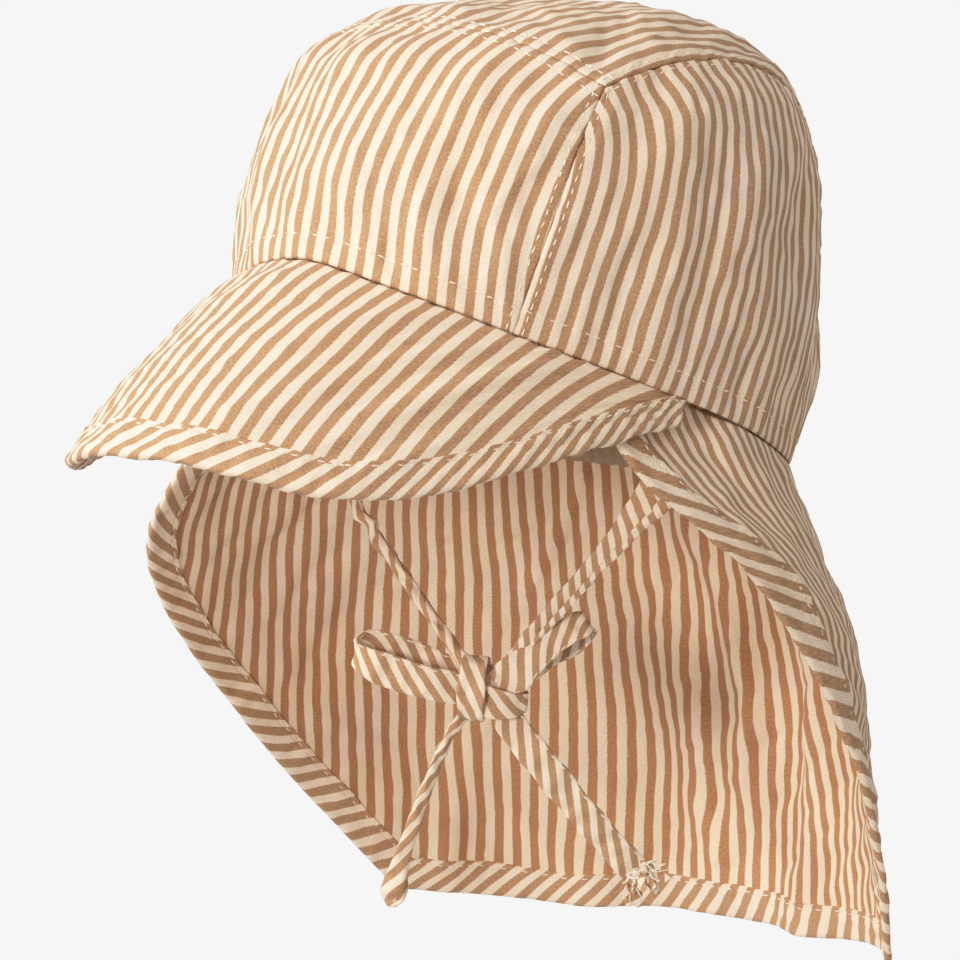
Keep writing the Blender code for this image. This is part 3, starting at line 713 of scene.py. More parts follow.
def cloth_material(name, waver, brown=BROWN, cream=CREAM, brown_share=0.5):
    """Striped twill, which reads its place on the cloth from the piece's own map."""
    material = bpy.data.materials.new(name)
    material.use_nodes = True
    w = Wires(material.node_tree)
    links = {
        "Place": w.put("ShaderNodeUVMap", uv_map="cloth").outputs[0],
        "Brown share": brown_share,
        "Waver": waver,
        "Brown": (*brown, 1.0),
        "Cream": (*cream, 1.0),
    }
    stripes = w.put("ShaderNodeGroup", links, node_tree=STRIPED)
    links = {"Strength": 0.35, "Distance": 0.00012, "Height": stripes.outputs["Height"]}
    bump = w.put("ShaderNodeBump", links)
    looks = {
        "Base Color": stripes.outputs["Color"],
        "Normal": bump.outputs[0],
        "Roughness": 0.88,
        "Specular IOR Level": 0.22,
        "Sheen Weight": 0.12,
        "Sheen Roughness": 0.5,
    }
    shader = material.node_tree.nodes["Principled BSDF"]
    for socket, value in looks.items():
        w.join(value, shader.inputs[socket])
    return material


# The inner faces use a redder, slightly darker copy of the cloth: painted warm shade that stands in for
# light bounced inside the hat and shining through the thin cotton.
INSIDE_BROWN_PAINTED_SHADE = (0.49, 0.245, 0.120)
INSIDE_CREAM_PAINTED_SHADE = (0.90, 0.71, 0.52)

PANEL_CLOTH = cloth_material("panel_cloth", 0.0005)
PANEL_INSIDE_PAINTED_SHADE = cloth_material("panel_cloth_inside_painted_shade", 0.0003, INSIDE_BROWN_PAINTED_SHADE, INSIDE_CREAM_PAINTED_SHADE)
BIAS_CLOTH = cloth_material("bias_cloth", 0.0004, brown_share=0.52)
THREAD = plain_material("cotton_thread", (0.92, 0.80, 0.65), 0.75)
print("materials", [m.name for m in bpy.data.materials if m.users])

# %% [markdown]
# Stitches repeat by the hundred along a line, which is what Geometry Nodes are for. The tree takes
# a bare line with the cloth's normal stored on it, walks along it in steps of one stitch, and puts
# a small rounded grain on each step, laid along the line and turned to face out of the cloth.

# %% Geometry Nodes tree for stitches
STITCH_STEP = 0.0036
STITCH_LENGTH = 0.0024
STITCH_WIDTH = 0.00044
STITCH_UNEVENNESS = 0.16


def stitch_tree():
    tree = bpy.data.node_groups.new("stitches", "GeometryNodeTree")
    for way in ("INPUT", "OUTPUT"):
        tree.interface.new_socket("Geometry", in_out=way, socket_type="NodeSocketGeometry")
    w = Wires(tree)
    line = w.put("GeometryNodeMeshToCurve", {"Mesh": w.put("NodeGroupInput").outputs[0]})
    links = {"Curve": line.outputs[0], "Length": STITCH_STEP}
    walk = w.put("GeometryNodeCurveToPoints", links, mode="LENGTH")
    faces = w.put("GeometryNodeInputNamedAttribute", {"Name": "facing"}, data_type="FLOAT_VECTOR")
    along = w.put("FunctionNodeAlignRotationToVector", {"Vector": walk.outputs["Tangent"]}, axis="X")
    links = {"Rotation": along.outputs[0], "Vector": faces.outputs[0]}
    turned = w.put("FunctionNodeAlignRotationToVector", links, axis="Z", pivot_axis="X")
    chance = w.put("FunctionNodeRandomValue", {"Seed": 7}, data_type="FLOAT_VECTOR")
    w.join((-1, -1, -1), chance.inputs[0])
    w.join((1, 1, 1), chance.inputs[1])
    links = {0: chance.outputs[0], "Scale": STITCH_UNEVENNESS}
    swing = w.put("ShaderNodeVectorMath", links, operation="SCALE").outputs[0]
    tilt = w.put("ShaderNodeVectorMath", (swing, (0.0, 0.25, 1.0)), operation="MULTIPLY")
    twist = w.put("FunctionNodeEulerToRotation", [tilt.outputs[0]])
    links = (turned.outputs[0], twist.outputs[0])
    turned = w.put("FunctionNodeRotateRotation", links, rotation_space="LOCAL")
    grain = w.put("GeometryNodeMeshUVSphere", {"Segments": 6, "Rings": 5, "Radius": 0.5})
    grow = w.put("ShaderNodeVectorMath", (swing, (1.0, 1.0, 1.0)), operation="ADD")
    size = (STITCH_LENGTH, STITCH_WIDTH, STITCH_WIDTH)
    scale = w.put("ShaderNodeVectorMath", (size, grow.outputs[0]), operation="MULTIPLY")
    links = {
        "Points": walk.outputs["Points"],
        "Instance": grain.outputs["Mesh"],
        "Rotation": turned.outputs[0],
        "Scale": scale.outputs[0],
    }
    placed = w.put("GeometryNodeInstanceOnPoints", links)
    real = w.put("GeometryNodeRealizeInstances", {"Geometry": placed.outputs[0]})
    painted = w.put("GeometryNodeSetMaterial", {"Geometry": real.outputs[0], "Material": THREAD})
    w.put("NodeGroupOutput", {"Geometry": painted.outputs[0]})
    return tree


STITCHES = stitch_tree()
stitch_lines = []


def stitch_line(points, normals, lift=0.00008):
    """Keeps a line of places for stitches; all of them are sewn at the end."""
    stitch_lines.append((points + normals * lift, normals))


def sew(name, lines):
    """Turns kept lines into one mesh of stitches."""
    mesh = bpy.data.meshes.new(name)
    points = np.concatenate([line[0] for line in lines])
    starts = np.cumsum([0] + [len(line[0]) for line in lines])
    edges = [(k, k + 1) for a, b in zip(starts, starts[1:]) for k in range(a, b - 1)]
    mesh.from_pydata(points.tolist(), edges, [])
    facing = mesh.attributes.new("facing", "FLOAT_VECTOR", "POINT")
    all_normals = np.concatenate([line[1] for line in lines]).astype(np.float32)
    facing.data.foreach_set("vector", all_normals.ravel())
    obj = add_object(name, mesh)
    obj.modifiers.new("stitches", "NODES").node_group = STITCHES
    view = bpy.context.evaluated_depsgraph_get()
    made = bpy.data.meshes.new_from_object(obj.evaluated_get(view))
    obj.modifiers.clear()
    obj.data = made
    made.shade_smooth()
    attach(obj, "root")
    print(name, len(made.polygons), "faces")


print("stitch tree", len(STITCHES.nodes), "nodes")

# %% [markdown]
# A seam in thin cotton shows as a narrow valley, because both cloths turn inwards there. The
# allowances under it lift a band beside the valley, the rows of stitches press grooves into that
# band, and the thread draws the cloth up into short puckers. These few rules shape each seam.

# %% Seam relief
ALLOWANCE_LIFT = 0.00016
GROOVE_DEPTH = 0.00020
GROOVE_HALF = 0.0006
PUCKER_SIZE = 0.0062
PUCKER_REACH = 0.0055


def roll(distance, width=0.0009, depth=0.00024):
    """The edge of the cloth as it turns inwards at a seam."""
    return -depth * np.clip(1 - distance / width, 0, 1) ** 2


def allowance(distance, width):
    rise = smooth(distance, 0.0003, 0.0016) * (1 - smooth(distance, width - 0.001, width + 0.0006))
    return ALLOWANCE_LIFT * rise


def groove(distance, at):
    return -GROOVE_DEPTH * np.exp(-(((distance - at) / GROOVE_HALF) ** 2))


def puckers(distance, along, seed, depth):
    return depth * np.exp(-distance / PUCKER_REACH) * ripples(along, distance * 0.25, PUCKER_SIZE, seed)


def sewn(grid, edge, rows, seed):
    """Relief beside one sewn edge of a grid, with stitches at each given distance from it."""
    distance = getattr(grid, "from_" + edge)
    along = grid.from_low if edge in ("left", "right") else grid.from_left
    height = roll(distance) + allowance(distance, max(rows) + 0.0014)
    for at in rows:
        height = height + groove(distance, at)
    return height + puckers(distance, along, seed, 0.00026)


def edge_line(grid, edge, distance):
    """Places at one distance from an edge of a grid, from near one end of it to the other."""
    run = getattr(grid, "from_" + edge)
    t = np.linspace(0.015, 0.985, 300)
    if edge in ("left", "right"):
        lines, shares, order = run, grid.u, 1 if edge == "left" else -1
    else:
        lines, shares, order = run.T, grid.v.T, 1 if edge == "low" else -1
    found = [np.interp(distance, line[::order], share[::order]) for line, share in zip(lines, shares)]
    other = np.interp(t, np.linspace(0, 1, len(found)), found)
    return grid.at(other, t) if edge in ("left", "right") else grid.at(t, other)


print("groove", GROOVE_DEPTH / MM, "mm deep")

# %% [markdown]
# The crown is four panels of striped cotton: the stripes run up the front, back over the top, and
# up each side beside the front seam. Each panel is a fine grid inside its four seam lines. The
# grid is thickened inwards, so the inside of the crown is cloth too.

# %% Crown panels
PANEL_THICKNESS = 0.0012
RIM_ROLL = (0.0014, 0.0004)
SEAM_LEAN = 0.017
CREST_ROWS = (0.0040,)
SIDE_ROWS = (0.0024,)
RIM_ROWS = (0.0070,)


def panel_surface(places):
    def surface(u, v):
        found = places(u, v)
        return crown_point(found[..., 0], found[..., 1])

    return surface


def soft_crumple(grid, seed, deep=0.00065, fine=0.00016):
    """Wrinkles of worn cotton over a whole piece."""
    x, y = grid.from_left, grid.from_low
    height = deep * ripples(x, y, 0.027, seed, 1.6) + fine * ripples(x, y, 0.0085, seed + 1, 1.3)
    return height + 0.00014 * creases(x, y, 0.016, seed + 2, 1.8)


def dented(grid, rows):
    """Dents and ridges along short lines; a row holds the line's two ends, half width and depth."""
    ups, downs = 0.0, 0.0
    for u0, v0, u1, v1, half, depth in rows:
        ends, _ = grid.at(np.array([u0, u1]), np.array([v0, v1]))
        run = ends[1] - ends[0]
        share = np.clip((grid.points - ends[0]) @ run / (run @ run), 0, 1)
        away = np.linalg.norm(grid.points - ends[0] - share[..., None] * run, axis=-1)
        shape = (abs(depth) * np.exp(-((away / half) ** 2))) ** 4
        if depth > 0:
            ups = ups + shape
        else:
            downs = downs + shape
    return ups**0.25 - downs**0.25


def crown_panel(name, places, columns, rows, edges, seed, stripes_from="middle", dents=()):
    """One panel: relief at its sewn edges, crumples between them, stripes along its grain."""
    grid = Grid(panel_surface(places), columns, rows)
    cloth_map = panel_stripes(grid, stripes_from)
    height = soft_crumple(grid, seed) + dented(grid, dents)
    for edge in edges:
        if edge != "low":
            height = height * (0.15 + 0.85 * smooth(getattr(grid, "from_" + edge), 0.0, 0.011))
    for k, (edge, distances) in enumerate(edges.items()):
        if edge == "low":
            distance = grid.from_low
            height = height * smooth(distance, -0.004, 0.012) + roll(distance, *RIM_ROLL)
            height = height + groove(distance, distances[0])
            pucker = puckers(abs(distance - distances[0]), grid.from_left, seed + 9 + k, 0.00022)
            height = height + pucker * smooth(distance, 0.0, 0.005)
        else:
            height = height + sewn(grid, edge, distances, seed + 9 + k)
    grid.push(height)
    mesh = grid_mesh(name, grid.points, cloth_map)
    add_piece(name, mesh, PANEL_CLOTH, [name], thickness=PANEL_THICKNESS)
    for edge, distances in edges.items():
        for at in distances:
            stitch_line(*edge_line(grid, edge, at))
    print(name, "about", round(float(grid.from_left[rows // 2, -1]) / MM), "mm wide")


def panel_stripes(grid, stripes_from):
    """How far across the stripes each point of a panel lies, and how far along them."""
    lean = SEAM_LEAN * smooth(grid.v, 0.45, 1.1) ** 1.5
    if stripes_from == "left":
        across = grid.from_left + lean
    elif stripes_from == "right":
        across = -grid.from_right - lean
    else:
        columns = grid.u.shape[1]
        across = grid.from_left - grid.from_left[:, columns // 2][:, None]
    return np.stack([across, grid.from_low], axis=-1)


front_places = patch(
    lambda v: front_seam(v, -1),
    lambda v: front_seam(v, 1),
    lambda u: on_rim(FRONT_SEAM_ANGLE * (2 * np.asarray(u, float) - 1)),
    crest_seam,
)
ALL_EDGES = {"left": SIDE_ROWS, "right": SIDE_ROWS, "low": RIM_ROWS, "high": CREST_ROWS}
# along u and v, both from 0 to 1: the two ends of each dent or ridge, its half width and its depth
FRONT_DENTS = (
    (0.965, 0.56, 0.935, 0.43, 0.0050, -0.0013),
    (0.83, 0.31, 0.905, 0.26, 0.0055, -0.0014),
    (0.90, 0.70, 0.86, 0.58, 0.0060, 0.0006),
    (0.30, 0.55, 0.36, 0.30, 0.0070, -0.0008),
    (0.12, 0.40, 0.20, 0.62, 0.0060, -0.0009),
)
crown_panel("front_panel", front_places, 150, 120, ALL_EDGES, 11, dents=FRONT_DENTS)

top_places = patch(
    lambda v: top_seam(v, 1),
    lambda v: top_seam(v, -1),
    lambda u: crest_seam(1 - np.asarray(u, float)),
    lambda u: on_rim(BACK_SEAM_ANGLE + 2 * (180 - BACK_SEAM_ANGLE) * np.asarray(u, float)),
)
crown_panel("top_panel", lambda u, v: top_places(u, 1 - v), 110, 210, ALL_EDGES, 21)


def side_places(side):
    """The places of one side panel; it narrows to a tip at the back of the rim."""
    tip = SIDE_TIP_WIDTH / (np.radians(BACK_SEAM_ANGLE - FRONT_SEAM_ANGLE) * HEAD_LENGTH / 2)

    def seam_side(u):
        return top_seam(np.asarray(u, float) * (1 - tip), side)

    def rim_side(u):
        span = (BACK_SEAM_ANGLE - FRONT_SEAM_ANGLE) * (1 - tip)
        return on_rim(side * (FRONT_SEAM_ANGLE + span * np.asarray(u, float)))

    def tip_side(v):
        v1 = np.asarray(v, float)[..., None]
        return rim_side(np.array(1.0)) * (1 - v1) + seam_side(np.array(1.0)) * v1

    places = patch(lambda v: front_seam(v, side), tip_side, rim_side, seam_side)
    return places if side > 0 else lambda u, v: places(1 - u, v)


LEFT_DENTS = (
    (0.095, 0.40, 0.055, 0.26, 0.0050, -0.0013),
    (0.14, 0.62, 0.11, 0.45, 0.0060, -0.0006),
    (0.45, 0.80, 0.47, 0.35, 0.0060, 0.0008),
    (0.53, 0.75, 0.55, 0.30, 0.0050, -0.0008),
    (0.70, 0.80, 0.66, 0.25, 0.0050, 0.0007),
)
for front, side, seed, dents in (("left", 1, 31, LEFT_DENTS), ("right", -1, 41, ())):
    side_edges = {front: SIDE_ROWS, "low": RIM_ROWS, "high": SIDE_ROWS}
    crown_panel("side_panel_" + front, side_places(side), 170, 110, side_edges, seed, front, dents)

# %% [markdown]
# Behind each seam lie its two allowances, pressed flat inside the crown. They are the narrow strips
# that show where the seams of such a hat are looked at from inside, and they close the seams.

# %% Seam allowances
ALLOWANCE_WIDTH = 0.0090
ALLOWANCE_DEPTH = 0.0017
ALLOWANCE_THICKNESS = 0.0006
ALLOWANCE_STATIONS = 160


def seam_strip(name, line, seed):
    """A flat strip behind one seam; line gives the seam's places for shares of its length."""
    near = 0.0005

    def on_crown(places):
        return crown_point(places[..., 0], places[..., 1])

    places = line(np.linspace(0.012, 0.988, ALLOWANCE_STATIONS))
    seam = on_crown(places)
    along = tangents(seam)
    sideways = np.gradient(places, axis=0)
    sideways = np.stack([-sideways[..., 1], sideways[..., 0]], axis=-1)
    sideways = near * sideways / np.linalg.norm(sideways, axis=-1, keepdims=True)
    beside = on_crown(places + sideways) - on_crown(places - sideways)
    beside = unit(beside - along * np.sum(beside * along, axis=-1, keepdims=True))
    normal = np.cross(beside, along)
    normal = normal * np.sign(np.sum(normal * seam, axis=-1, keepdims=True))
    across = np.linspace(-0.5, 0.5, 9) * ALLOWANCE_WIDTH
    wavy = ripples(np.arange(ALLOWANCE_STATIONS)[:, None] * 0.0006, across[None, :], 0.006, seed)
    sunk = ALLOWANCE_DEPTH + 0.00012 * wavy
    points = seam[:, None] + beside[:, None] * across[None, :, None] - normal[:, None] * sunk[..., None]
    corner, right, below = points[80, 0], points[80, 1], points[81, 0]
    if np.sum(np.cross(right - corner, below - corner) * normal[80]) < 0:
        points = points[:, ::-1]
    cloth_map = np.stack(np.meshgrid(across, arc(seam, 0)), axis=-1)
    # the allowances take the redder, darker inside copy of the cloth: painted warm shade
    add_piece(name, grid_mesh(name, points, cloth_map), PANEL_INSIDE_PAINTED_SHADE, thickness=ALLOWANCE_THICKNESS)


SEAMS = {
    "front_left": lambda t: front_seam(t, 1),
    "front_right": lambda t: front_seam(t, -1),
    "top_left": lambda t: top_seam(t, 1),
    "top_right": lambda t: top_seam(t, -1),
    "crest": crest_seam,
}
for k, (name, line) in enumerate(SEAMS.items()):
    seam_strip("allowance_" + name, line, 151 + k)
print("seam allowances", round(ALLOWANCE_WIDTH / MM, 1), "mm wide")

# %% [markdown]
# The peak is soft: two layers over something that gives, so its top dimples a little between the
# seam and the bound edge. Its stripes run forwards, parallel to the middle of the hat, and not out
# from the rim, since the peak was cut from flat cloth.

# %% Peak
PEAK_THICKNESS = 0.0024


def peak_body(u, v):
    return peak_point(2 * u - 1, 1 - v)


peak_grid = Grid(peak_body, 230, 90)
middle_row = peak_grid.u.shape[0] // 2
steps_across = np.gradient(peak_grid.points, axis=1)
steps_back = np.gradient(peak_grid.points, axis=0)
sideways = np.array([1.0, 0.0, 0.0])
tilt = peak_grid.normals @ sideways
grain = unit(sideways - tilt[..., None] * peak_grid.normals)
run = np.cumsum(np.sum(steps_across[middle_row] * grain[middle_row], axis=-1))
climb = np.cumsum(np.sum(steps_back * grain, axis=-1), axis=0)
peak_across = run - run[len(run) // 2] + climb - climb[middle_row]
peak_map = np.stack([peak_across, peak_grid.from_low], axis=-1)
height = soft_crumple(peak_grid, 51, 0.00042, 0.00012)
height = height * smooth(peak_grid.from_high, 0.0, 0.010)
height = height + puckers(peak_grid.from_high, peak_grid.from_left, 53, 0.00022)
height = height + roll(peak_grid.from_high, *RIM_ROLL)
peak_grid.push(height)
peak_mesh = grid_mesh("peak", peak_grid.points, peak_map)
add_piece("peak", peak_mesh, PANEL_CLOTH, ["peak"], thickness=PEAK_THICKNESS)
print("peak grid", peak_grid.u.shape)

# %% [markdown]
# The neck flap hangs from the back three quarters of the rim. Each stripe keeps its distance from
# the middle of the back all the way down, as in a cut piece; where the flap swings out, the cloth
# is drawn into folds and waves that cross the stripes.

# %% Neck flap
FLAP_THICKNESS = 0.0011


def flap_body(u, v):
    return flap_point(u, 1 - v)


flap_grid = Grid(flap_body, 380, 160)
columns = flap_grid.u.shape[1]
flap_across = flap_grid.from_left - flap_grid.from_left[:, columns // 2][:, None]
flap_down = flap_grid.from_high
fallen = 1 - flap_grid.v
left_side = smooth(0.5 - flap_grid.u, 0.12, 0.42)
drawn_in = 1 - 0.14 * smooth(fallen, 0, 0.75)
drawn_out = 1 + 0.22 * smooth(fallen, 0.08, 0.40) - 0.20 * smooth(fallen, 0.40, 1.0)
flap_across = flap_across * (drawn_in + (drawn_out - drawn_in) * left_side)
flap_map = np.stack([flap_across, -flap_down], axis=-1)

# along u and v, both from 0 to 1: start, end, half width and depth of each sharper fold
FLAP_CREASES = (
    (0.534, 0.868, 0.492, 0.688, 0.0040, -0.0022),
    (0.492, 0.688, 0.464, 0.444, 0.0045, -0.0034),
    (0.464, 0.444, 0.485, 0.300, 0.0050, -0.0030),
    (0.545, 0.760, 0.510, 0.430, 0.0080, 0.0036),
    (0.510, 0.430, 0.530, 0.240, 0.0070, 0.0030),
    (0.562, 0.232, 0.526, 0.124, 0.0050, -0.0022),
    (0.540, 0.140, 0.510, 0.030, 0.0050, -0.0018),
    (0.638, 0.930, 0.676, 0.792, 0.0020, -0.0014),
    (0.676, 0.792, 0.726, 0.640, 0.0022, -0.0018),
    (0.600, 0.960, 0.596, 0.860, 0.0030, 0.0016),
    (0.566, 0.965, 0.560, 0.850, 0.0030, -0.0016),
    (0.940, 0.020, 0.866, 0.172, 0.0060, -0.0030),
    (0.866, 0.172, 0.790, 0.400, 0.0070, -0.0030),
    (0.800, 0.860, 0.770, 0.500, 0.0060, -0.0014),
    (0.880, 0.760, 0.860, 0.420, 0.0055, 0.0014),
    (0.350, 0.600, 0.300, 0.220, 0.0070, -0.0014),
    (0.270, 0.560, 0.200, 0.150, 0.0070, 0.0010),
    (0.420, 0.320, 0.400, 0.060, 0.0060, -0.0016),
)
height = soft_crumple(flap_grid, 61, 0.00045, 0.00013) + dented(flap_grid, FLAP_CREASES)
near_left = np.exp(-flap_grid.from_left / 0.045)
near_right = np.exp(-flap_grid.from_right / 0.030)
waves = ripples(flap_grid.from_left * 0.35, flap_down, 0.021, 65)
height = height + (0.0005 * near_left + 0.0004 * near_right) * waves * smooth(flap_down, 0.002, 0.012)
edge = np.minimum(np.minimum(flap_grid.from_left, flap_grid.from_right), flap_grid.from_low)
height = height * (0.45 + 0.55 * smooth(edge, 0.002, 0.020)) * smooth(flap_down, 0.0, 0.008)
flap_grid.push(height)
# The flap's inner face takes the redder, darker inside copy of the cloth: painted warm shade.
flap_piece = add_piece(
    "neck_flap",
    grid_mesh("neck_flap", flap_grid.points, flap_map),
    PANEL_CLOTH,
    ["neck_flap"],
    thickness=FLAP_THICKNESS,
    inside=PANEL_INSIDE_PAINTED_SHADE,
)
print("flap", round(float(flap_grid.from_left[0, -1]) / MM), "mm along the hem")

# %% [markdown]
# The bindings are strips cut on the bias and folded over the edges, so that one strip shows on
# both faces. Each is a flat loop in section, swept along the edge; its map runs on round the fold,
# and so do its stripes.

# %% Bindings
PEAK_BINDING = 0.0095
TAPE_STITCHES = 0.84


def bias_map(along, inward, degrees, pinch=1.0):
    """Where a bias-cut strip lies on the cloth; its stripes cross the edge at 90 - degrees.

    Pinch says how much closer the stripes of a strip that was pulled long and thin have come.
    """
    turn = np.radians(np.broadcast_to(degrees, along.shape))
    steps = np.diff(along, prepend=along[0]) * pinch
    inward = inward * np.broadcast_to(pinch, along.shape)[:, None]
    x = np.cumsum(steps * np.cos(turn))[:, None] - inward * np.sin(turn)[:, None]
    y = np.cumsum(steps * np.sin(turn))[:, None] + inward * np.cos(turn)[:, None]
    return np.stack([x, y], axis=-1)


def folded_tape(name, strip, stations, width, half, middle_depth, degrees, spread, seed):
    """Tape round an edge: strip(u, v) is the face it lies on, v from the edge to its inner line."""
    u = np.linspace(0, 1, stations)
    edge_run = arc(strip(u, 0 * u), 0)

    def laid(v, height):
        """Places at a share v of the tape's width, a height above the face."""
        here = strip(u, np.full_like(u, max(v, 0.0)))
        further = strip(u, np.full_like(u, max(v, 0.0) + 0.08))
        inward = unit(further - strip(u, np.full_like(u, max(v - 0.08, 0.0))))
        normal = unit(np.cross(np.gradient(here, axis=0), inward))
        return here + inward * min(v, 0.0) * width + normal * np.asarray(height)[..., None], normal

    across = np.concatenate([np.linspace(1.0, 0.965, 3), np.linspace(0.92, 0.05, 12)])
    heights = np.concatenate([[0.52, 0.85, 1.0], np.ones(12)])
    heights = heights - 0.24 * np.exp(-(((across - TAPE_STITCHES) / 0.04) ** 2))
    outer = list(zip(across, heights))
    fold = [(-0.9 * half / width * np.sin(t), np.cos(t)) for t in np.radians(np.linspace(35, 145, 5))]
    inner = [(v, -k) for v, k in reversed(outer)]
    section = outer + fold + inner
    steps = np.diff(np.array(section), axis=0) * np.array([width, half])
    run = np.concatenate([[0], np.cumsum(np.hypot(steps[:, 0], steps[:, 1]))])
    inward = run[len(outer) + 2] - run
    columns, normals = [], []
    for (v, k), b in zip(section, inward):
        pucker = 0.00017 * ripples(edge_run, 0 * edge_run + b * 0.4, 0.0055, seed) * k
        place, normal = laid(v, middle_depth + half * k + pucker)
        columns.append(place)
        normals.append(normal)
    inward = np.append(inward, inward[-1] - width * 0.02)[None, :] * spread(u)[:, None]
    cloth_map = bias_map(edge_run, inward, degrees(u), 0.36 + 0.64 * spread(u) ** 0.75)
    mesh = grid_mesh(name, np.stack(columns, axis=1), cloth_map, closed_round=True, caps=True)
    piece = add_piece(name, mesh, BIAS_CLOTH, [name])
    row = int(np.argmin(np.abs(across - TAPE_STITCHES)))
    keep = slice(4, -4)
    for k, side in ((row, 1), (len(section) - 1 - row, -1)):
        stitch_line(columns[k][keep], side * normals[k][keep], 0.00010)
    print(name, round(float(edge_run[-1]) / MM), "mm along its edge")
    return piece


FLAP_ROWS = 18
FLAP_COLUMNS = 32


def flap_strip(u, v):
    """Down the left front edge, along the hem and up the right edge; v runs across the band."""
    step = u * (2 * FLAP_ROWS + FLAP_COLUMNS)
    down = np.clip(step / FLAP_ROWS, 0.0, 1.0)
    along = np.clip((step - FLAP_ROWS) / FLAP_COLUMNS, 0.0, 1.0)
    up = np.clip((step - FLAP_ROWS - FLAP_COLUMNS) / FLAP_ROWS, 0.0, 1.0)
    outer_t = down - up
    low = 1 - flap_margin(along, np.ones_like(along), False)
    inner_t = outer_t * low
    left = flap_margin(np.zeros_like(along), inner_t, True)
    right = flap_margin(np.ones_like(along), inner_t, True)
    inner_share = left + along * (1 - left - right)
    share = along + (inner_share - along) * v
    return flap_grid.at(share, 1 - outer_t - (inner_t - outer_t) * v)[0]


def peak_strip(u, v):
    share = 2 * u - 1
    reach = np.linalg.norm(peak_point(share, 1.0) - peak_point(share, 0.0), axis=-1)
    inner = np.maximum(1 - PEAK_BINDING / reach, 0.0)
    return peak_grid.at(u, v * (1 - inner))[0]


def resampled(strip, count=1500):
    """The same strip with even steps along its edge."""
    fine = np.linspace(0, 1, count)
    run = arc(strip(fine, 0 * fine), 0)

    def even(u, v):
        return strip(np.interp(u, run / run[-1], fine), v)

    return even


def flap_bias(u):
    """The tape was stretched along the flap's sides, which turns its stripes a little."""
    hem = smooth(u, 0.24, 0.30) * (1 - smooth(u, 0.70, 0.76))
    return 52.0 - 10.0 * hem


def flap_spread(u):
    """On the left side the tape is pulled wide as it rolls outwards, and its stripes with it."""
    return 0.46 + 0.54 * smooth(u, 0.20, 0.27)


def peak_bias(u):
    return 52.0 - 14.0 * smooth(u, 0.45, 0.80)


def even_spread(u):
    return 1 + 0 * u


flap_tape = resampled(flap_strip)
peak_tape = resampled(peak_strip)
flap_edge = folded_tape(
    "flap_binding", flap_tape, 640, BINDING, 0.00115, -0.00055, flap_bias, flap_spread, 71
)
folded_tape("peak_binding", peak_tape, 300, PEAK_BINDING, 0.00175, -0.0012, peak_bias, even_spread, 81)

# The flap's cut is read off the finished piece: the hem's run and the longest way down from the
# rim.
flap_size = (float(np.max(flap_grid.from_left[:, -1])), float(np.max(flap_grid.from_high)))

# %% [markdown]
# Inside the back of the rim a plain tube of cotton covers the elastic. The elastic has drawn it
# into close gathers, deeper in some places than in others.

# %% Elastic casing
CASING_HALF_ANGLE = 78.0
CASING_ABOVE_RIM = 0.012
CASING_BELOW_RIM = 0.006
CASING_THICKNESS = 0.0018
CASING_CLOTH = plain_material("casing_cotton", (0.42, 0.30, 0.20), 0.9)


def casing_band(u, v):
    turn = CASING_HALF_ANGLE * (2 * u - 1)
    angle = np.radians(180 + turn)
    height = -CASING_BELOW_RIM + v * (CASING_ABOVE_RIM + CASING_BELOW_RIM)
    rim = rim_point(angle)
    up = np.maximum(height, 0.0) / (CROWN_HEIGHT - rim[..., 2])
    above = crown_point(np.sin(angle) * (1 - 0.62 * up), -np.cos(angle) * (1 - 0.62 * up))
    down = np.maximum(-height, 0.0) / (FLAP_DROP + rim[..., 2])
    below = flap_point(0.5 + turn / (2 * FLAP_HALF_ANGLE), down)
    base = np.where((height > 0)[..., None], above, below)
    base[..., 2] = rim[..., 2] + height
    gathers = 0.5 + 0.5 * np.cos(2 * np.pi * (46 * u + 0.35 * np.sin(9 * u) + 0.25 * np.sin(37 * u)))
    gathers = gathers * (0.6 + 0.4 * np.sin(2 * np.pi * 7.3 * u + 1.0) ** 2) * np.sin(np.pi * v) ** 0.4
    inset = 0.0022 + 0.0012 * gathers
    out = unit(base * np.array([1.0, 1.0, 0.0]))
    return base - out * inset[..., None]


casing_grid = Grid(casing_band, 560, 16)
casing_map = np.stack([casing_grid.from_left, casing_grid.from_low], axis=-1)
casing_mesh = grid_mesh("elastic_casing", casing_grid.points, casing_map)
add_piece("elastic_casing", casing_mesh, CASING_CLOTH, ["elastic_casing"], CASING_THICKNESS)

# %% [markdown]
# The chin tie is two long bias straps, each folded double and sewn along one edge. One comes from
# inside each front edge of the flap; they meet in a bow with two loops and two free ends. Every
# stretch is a flat tube swept along its path, with its own width, twist and crumple.

# %% Straps
BOW_TURN = 42.0
STRAP_PINCH = 1.40
STRAP_SIDES = 28
STRAP_ROUNDNESS = 0.72
TAIL_STATIONS = 120
KNOT_AT = np.array([0.0262, -0.040, -0.0828])
turned = np.radians(BOW_TURN)
SIDEWAYS = np.array([np.cos(turned), np.sin(turned), 0.0])
OUTWARDS = np.array([np.sin(turned), -np.cos(turned), 0.0])
UP = np.array([0.0, 0.0, 1.0])
BOW_AXES = np.array([SIDEWAYS, OUTWARDS, UP])


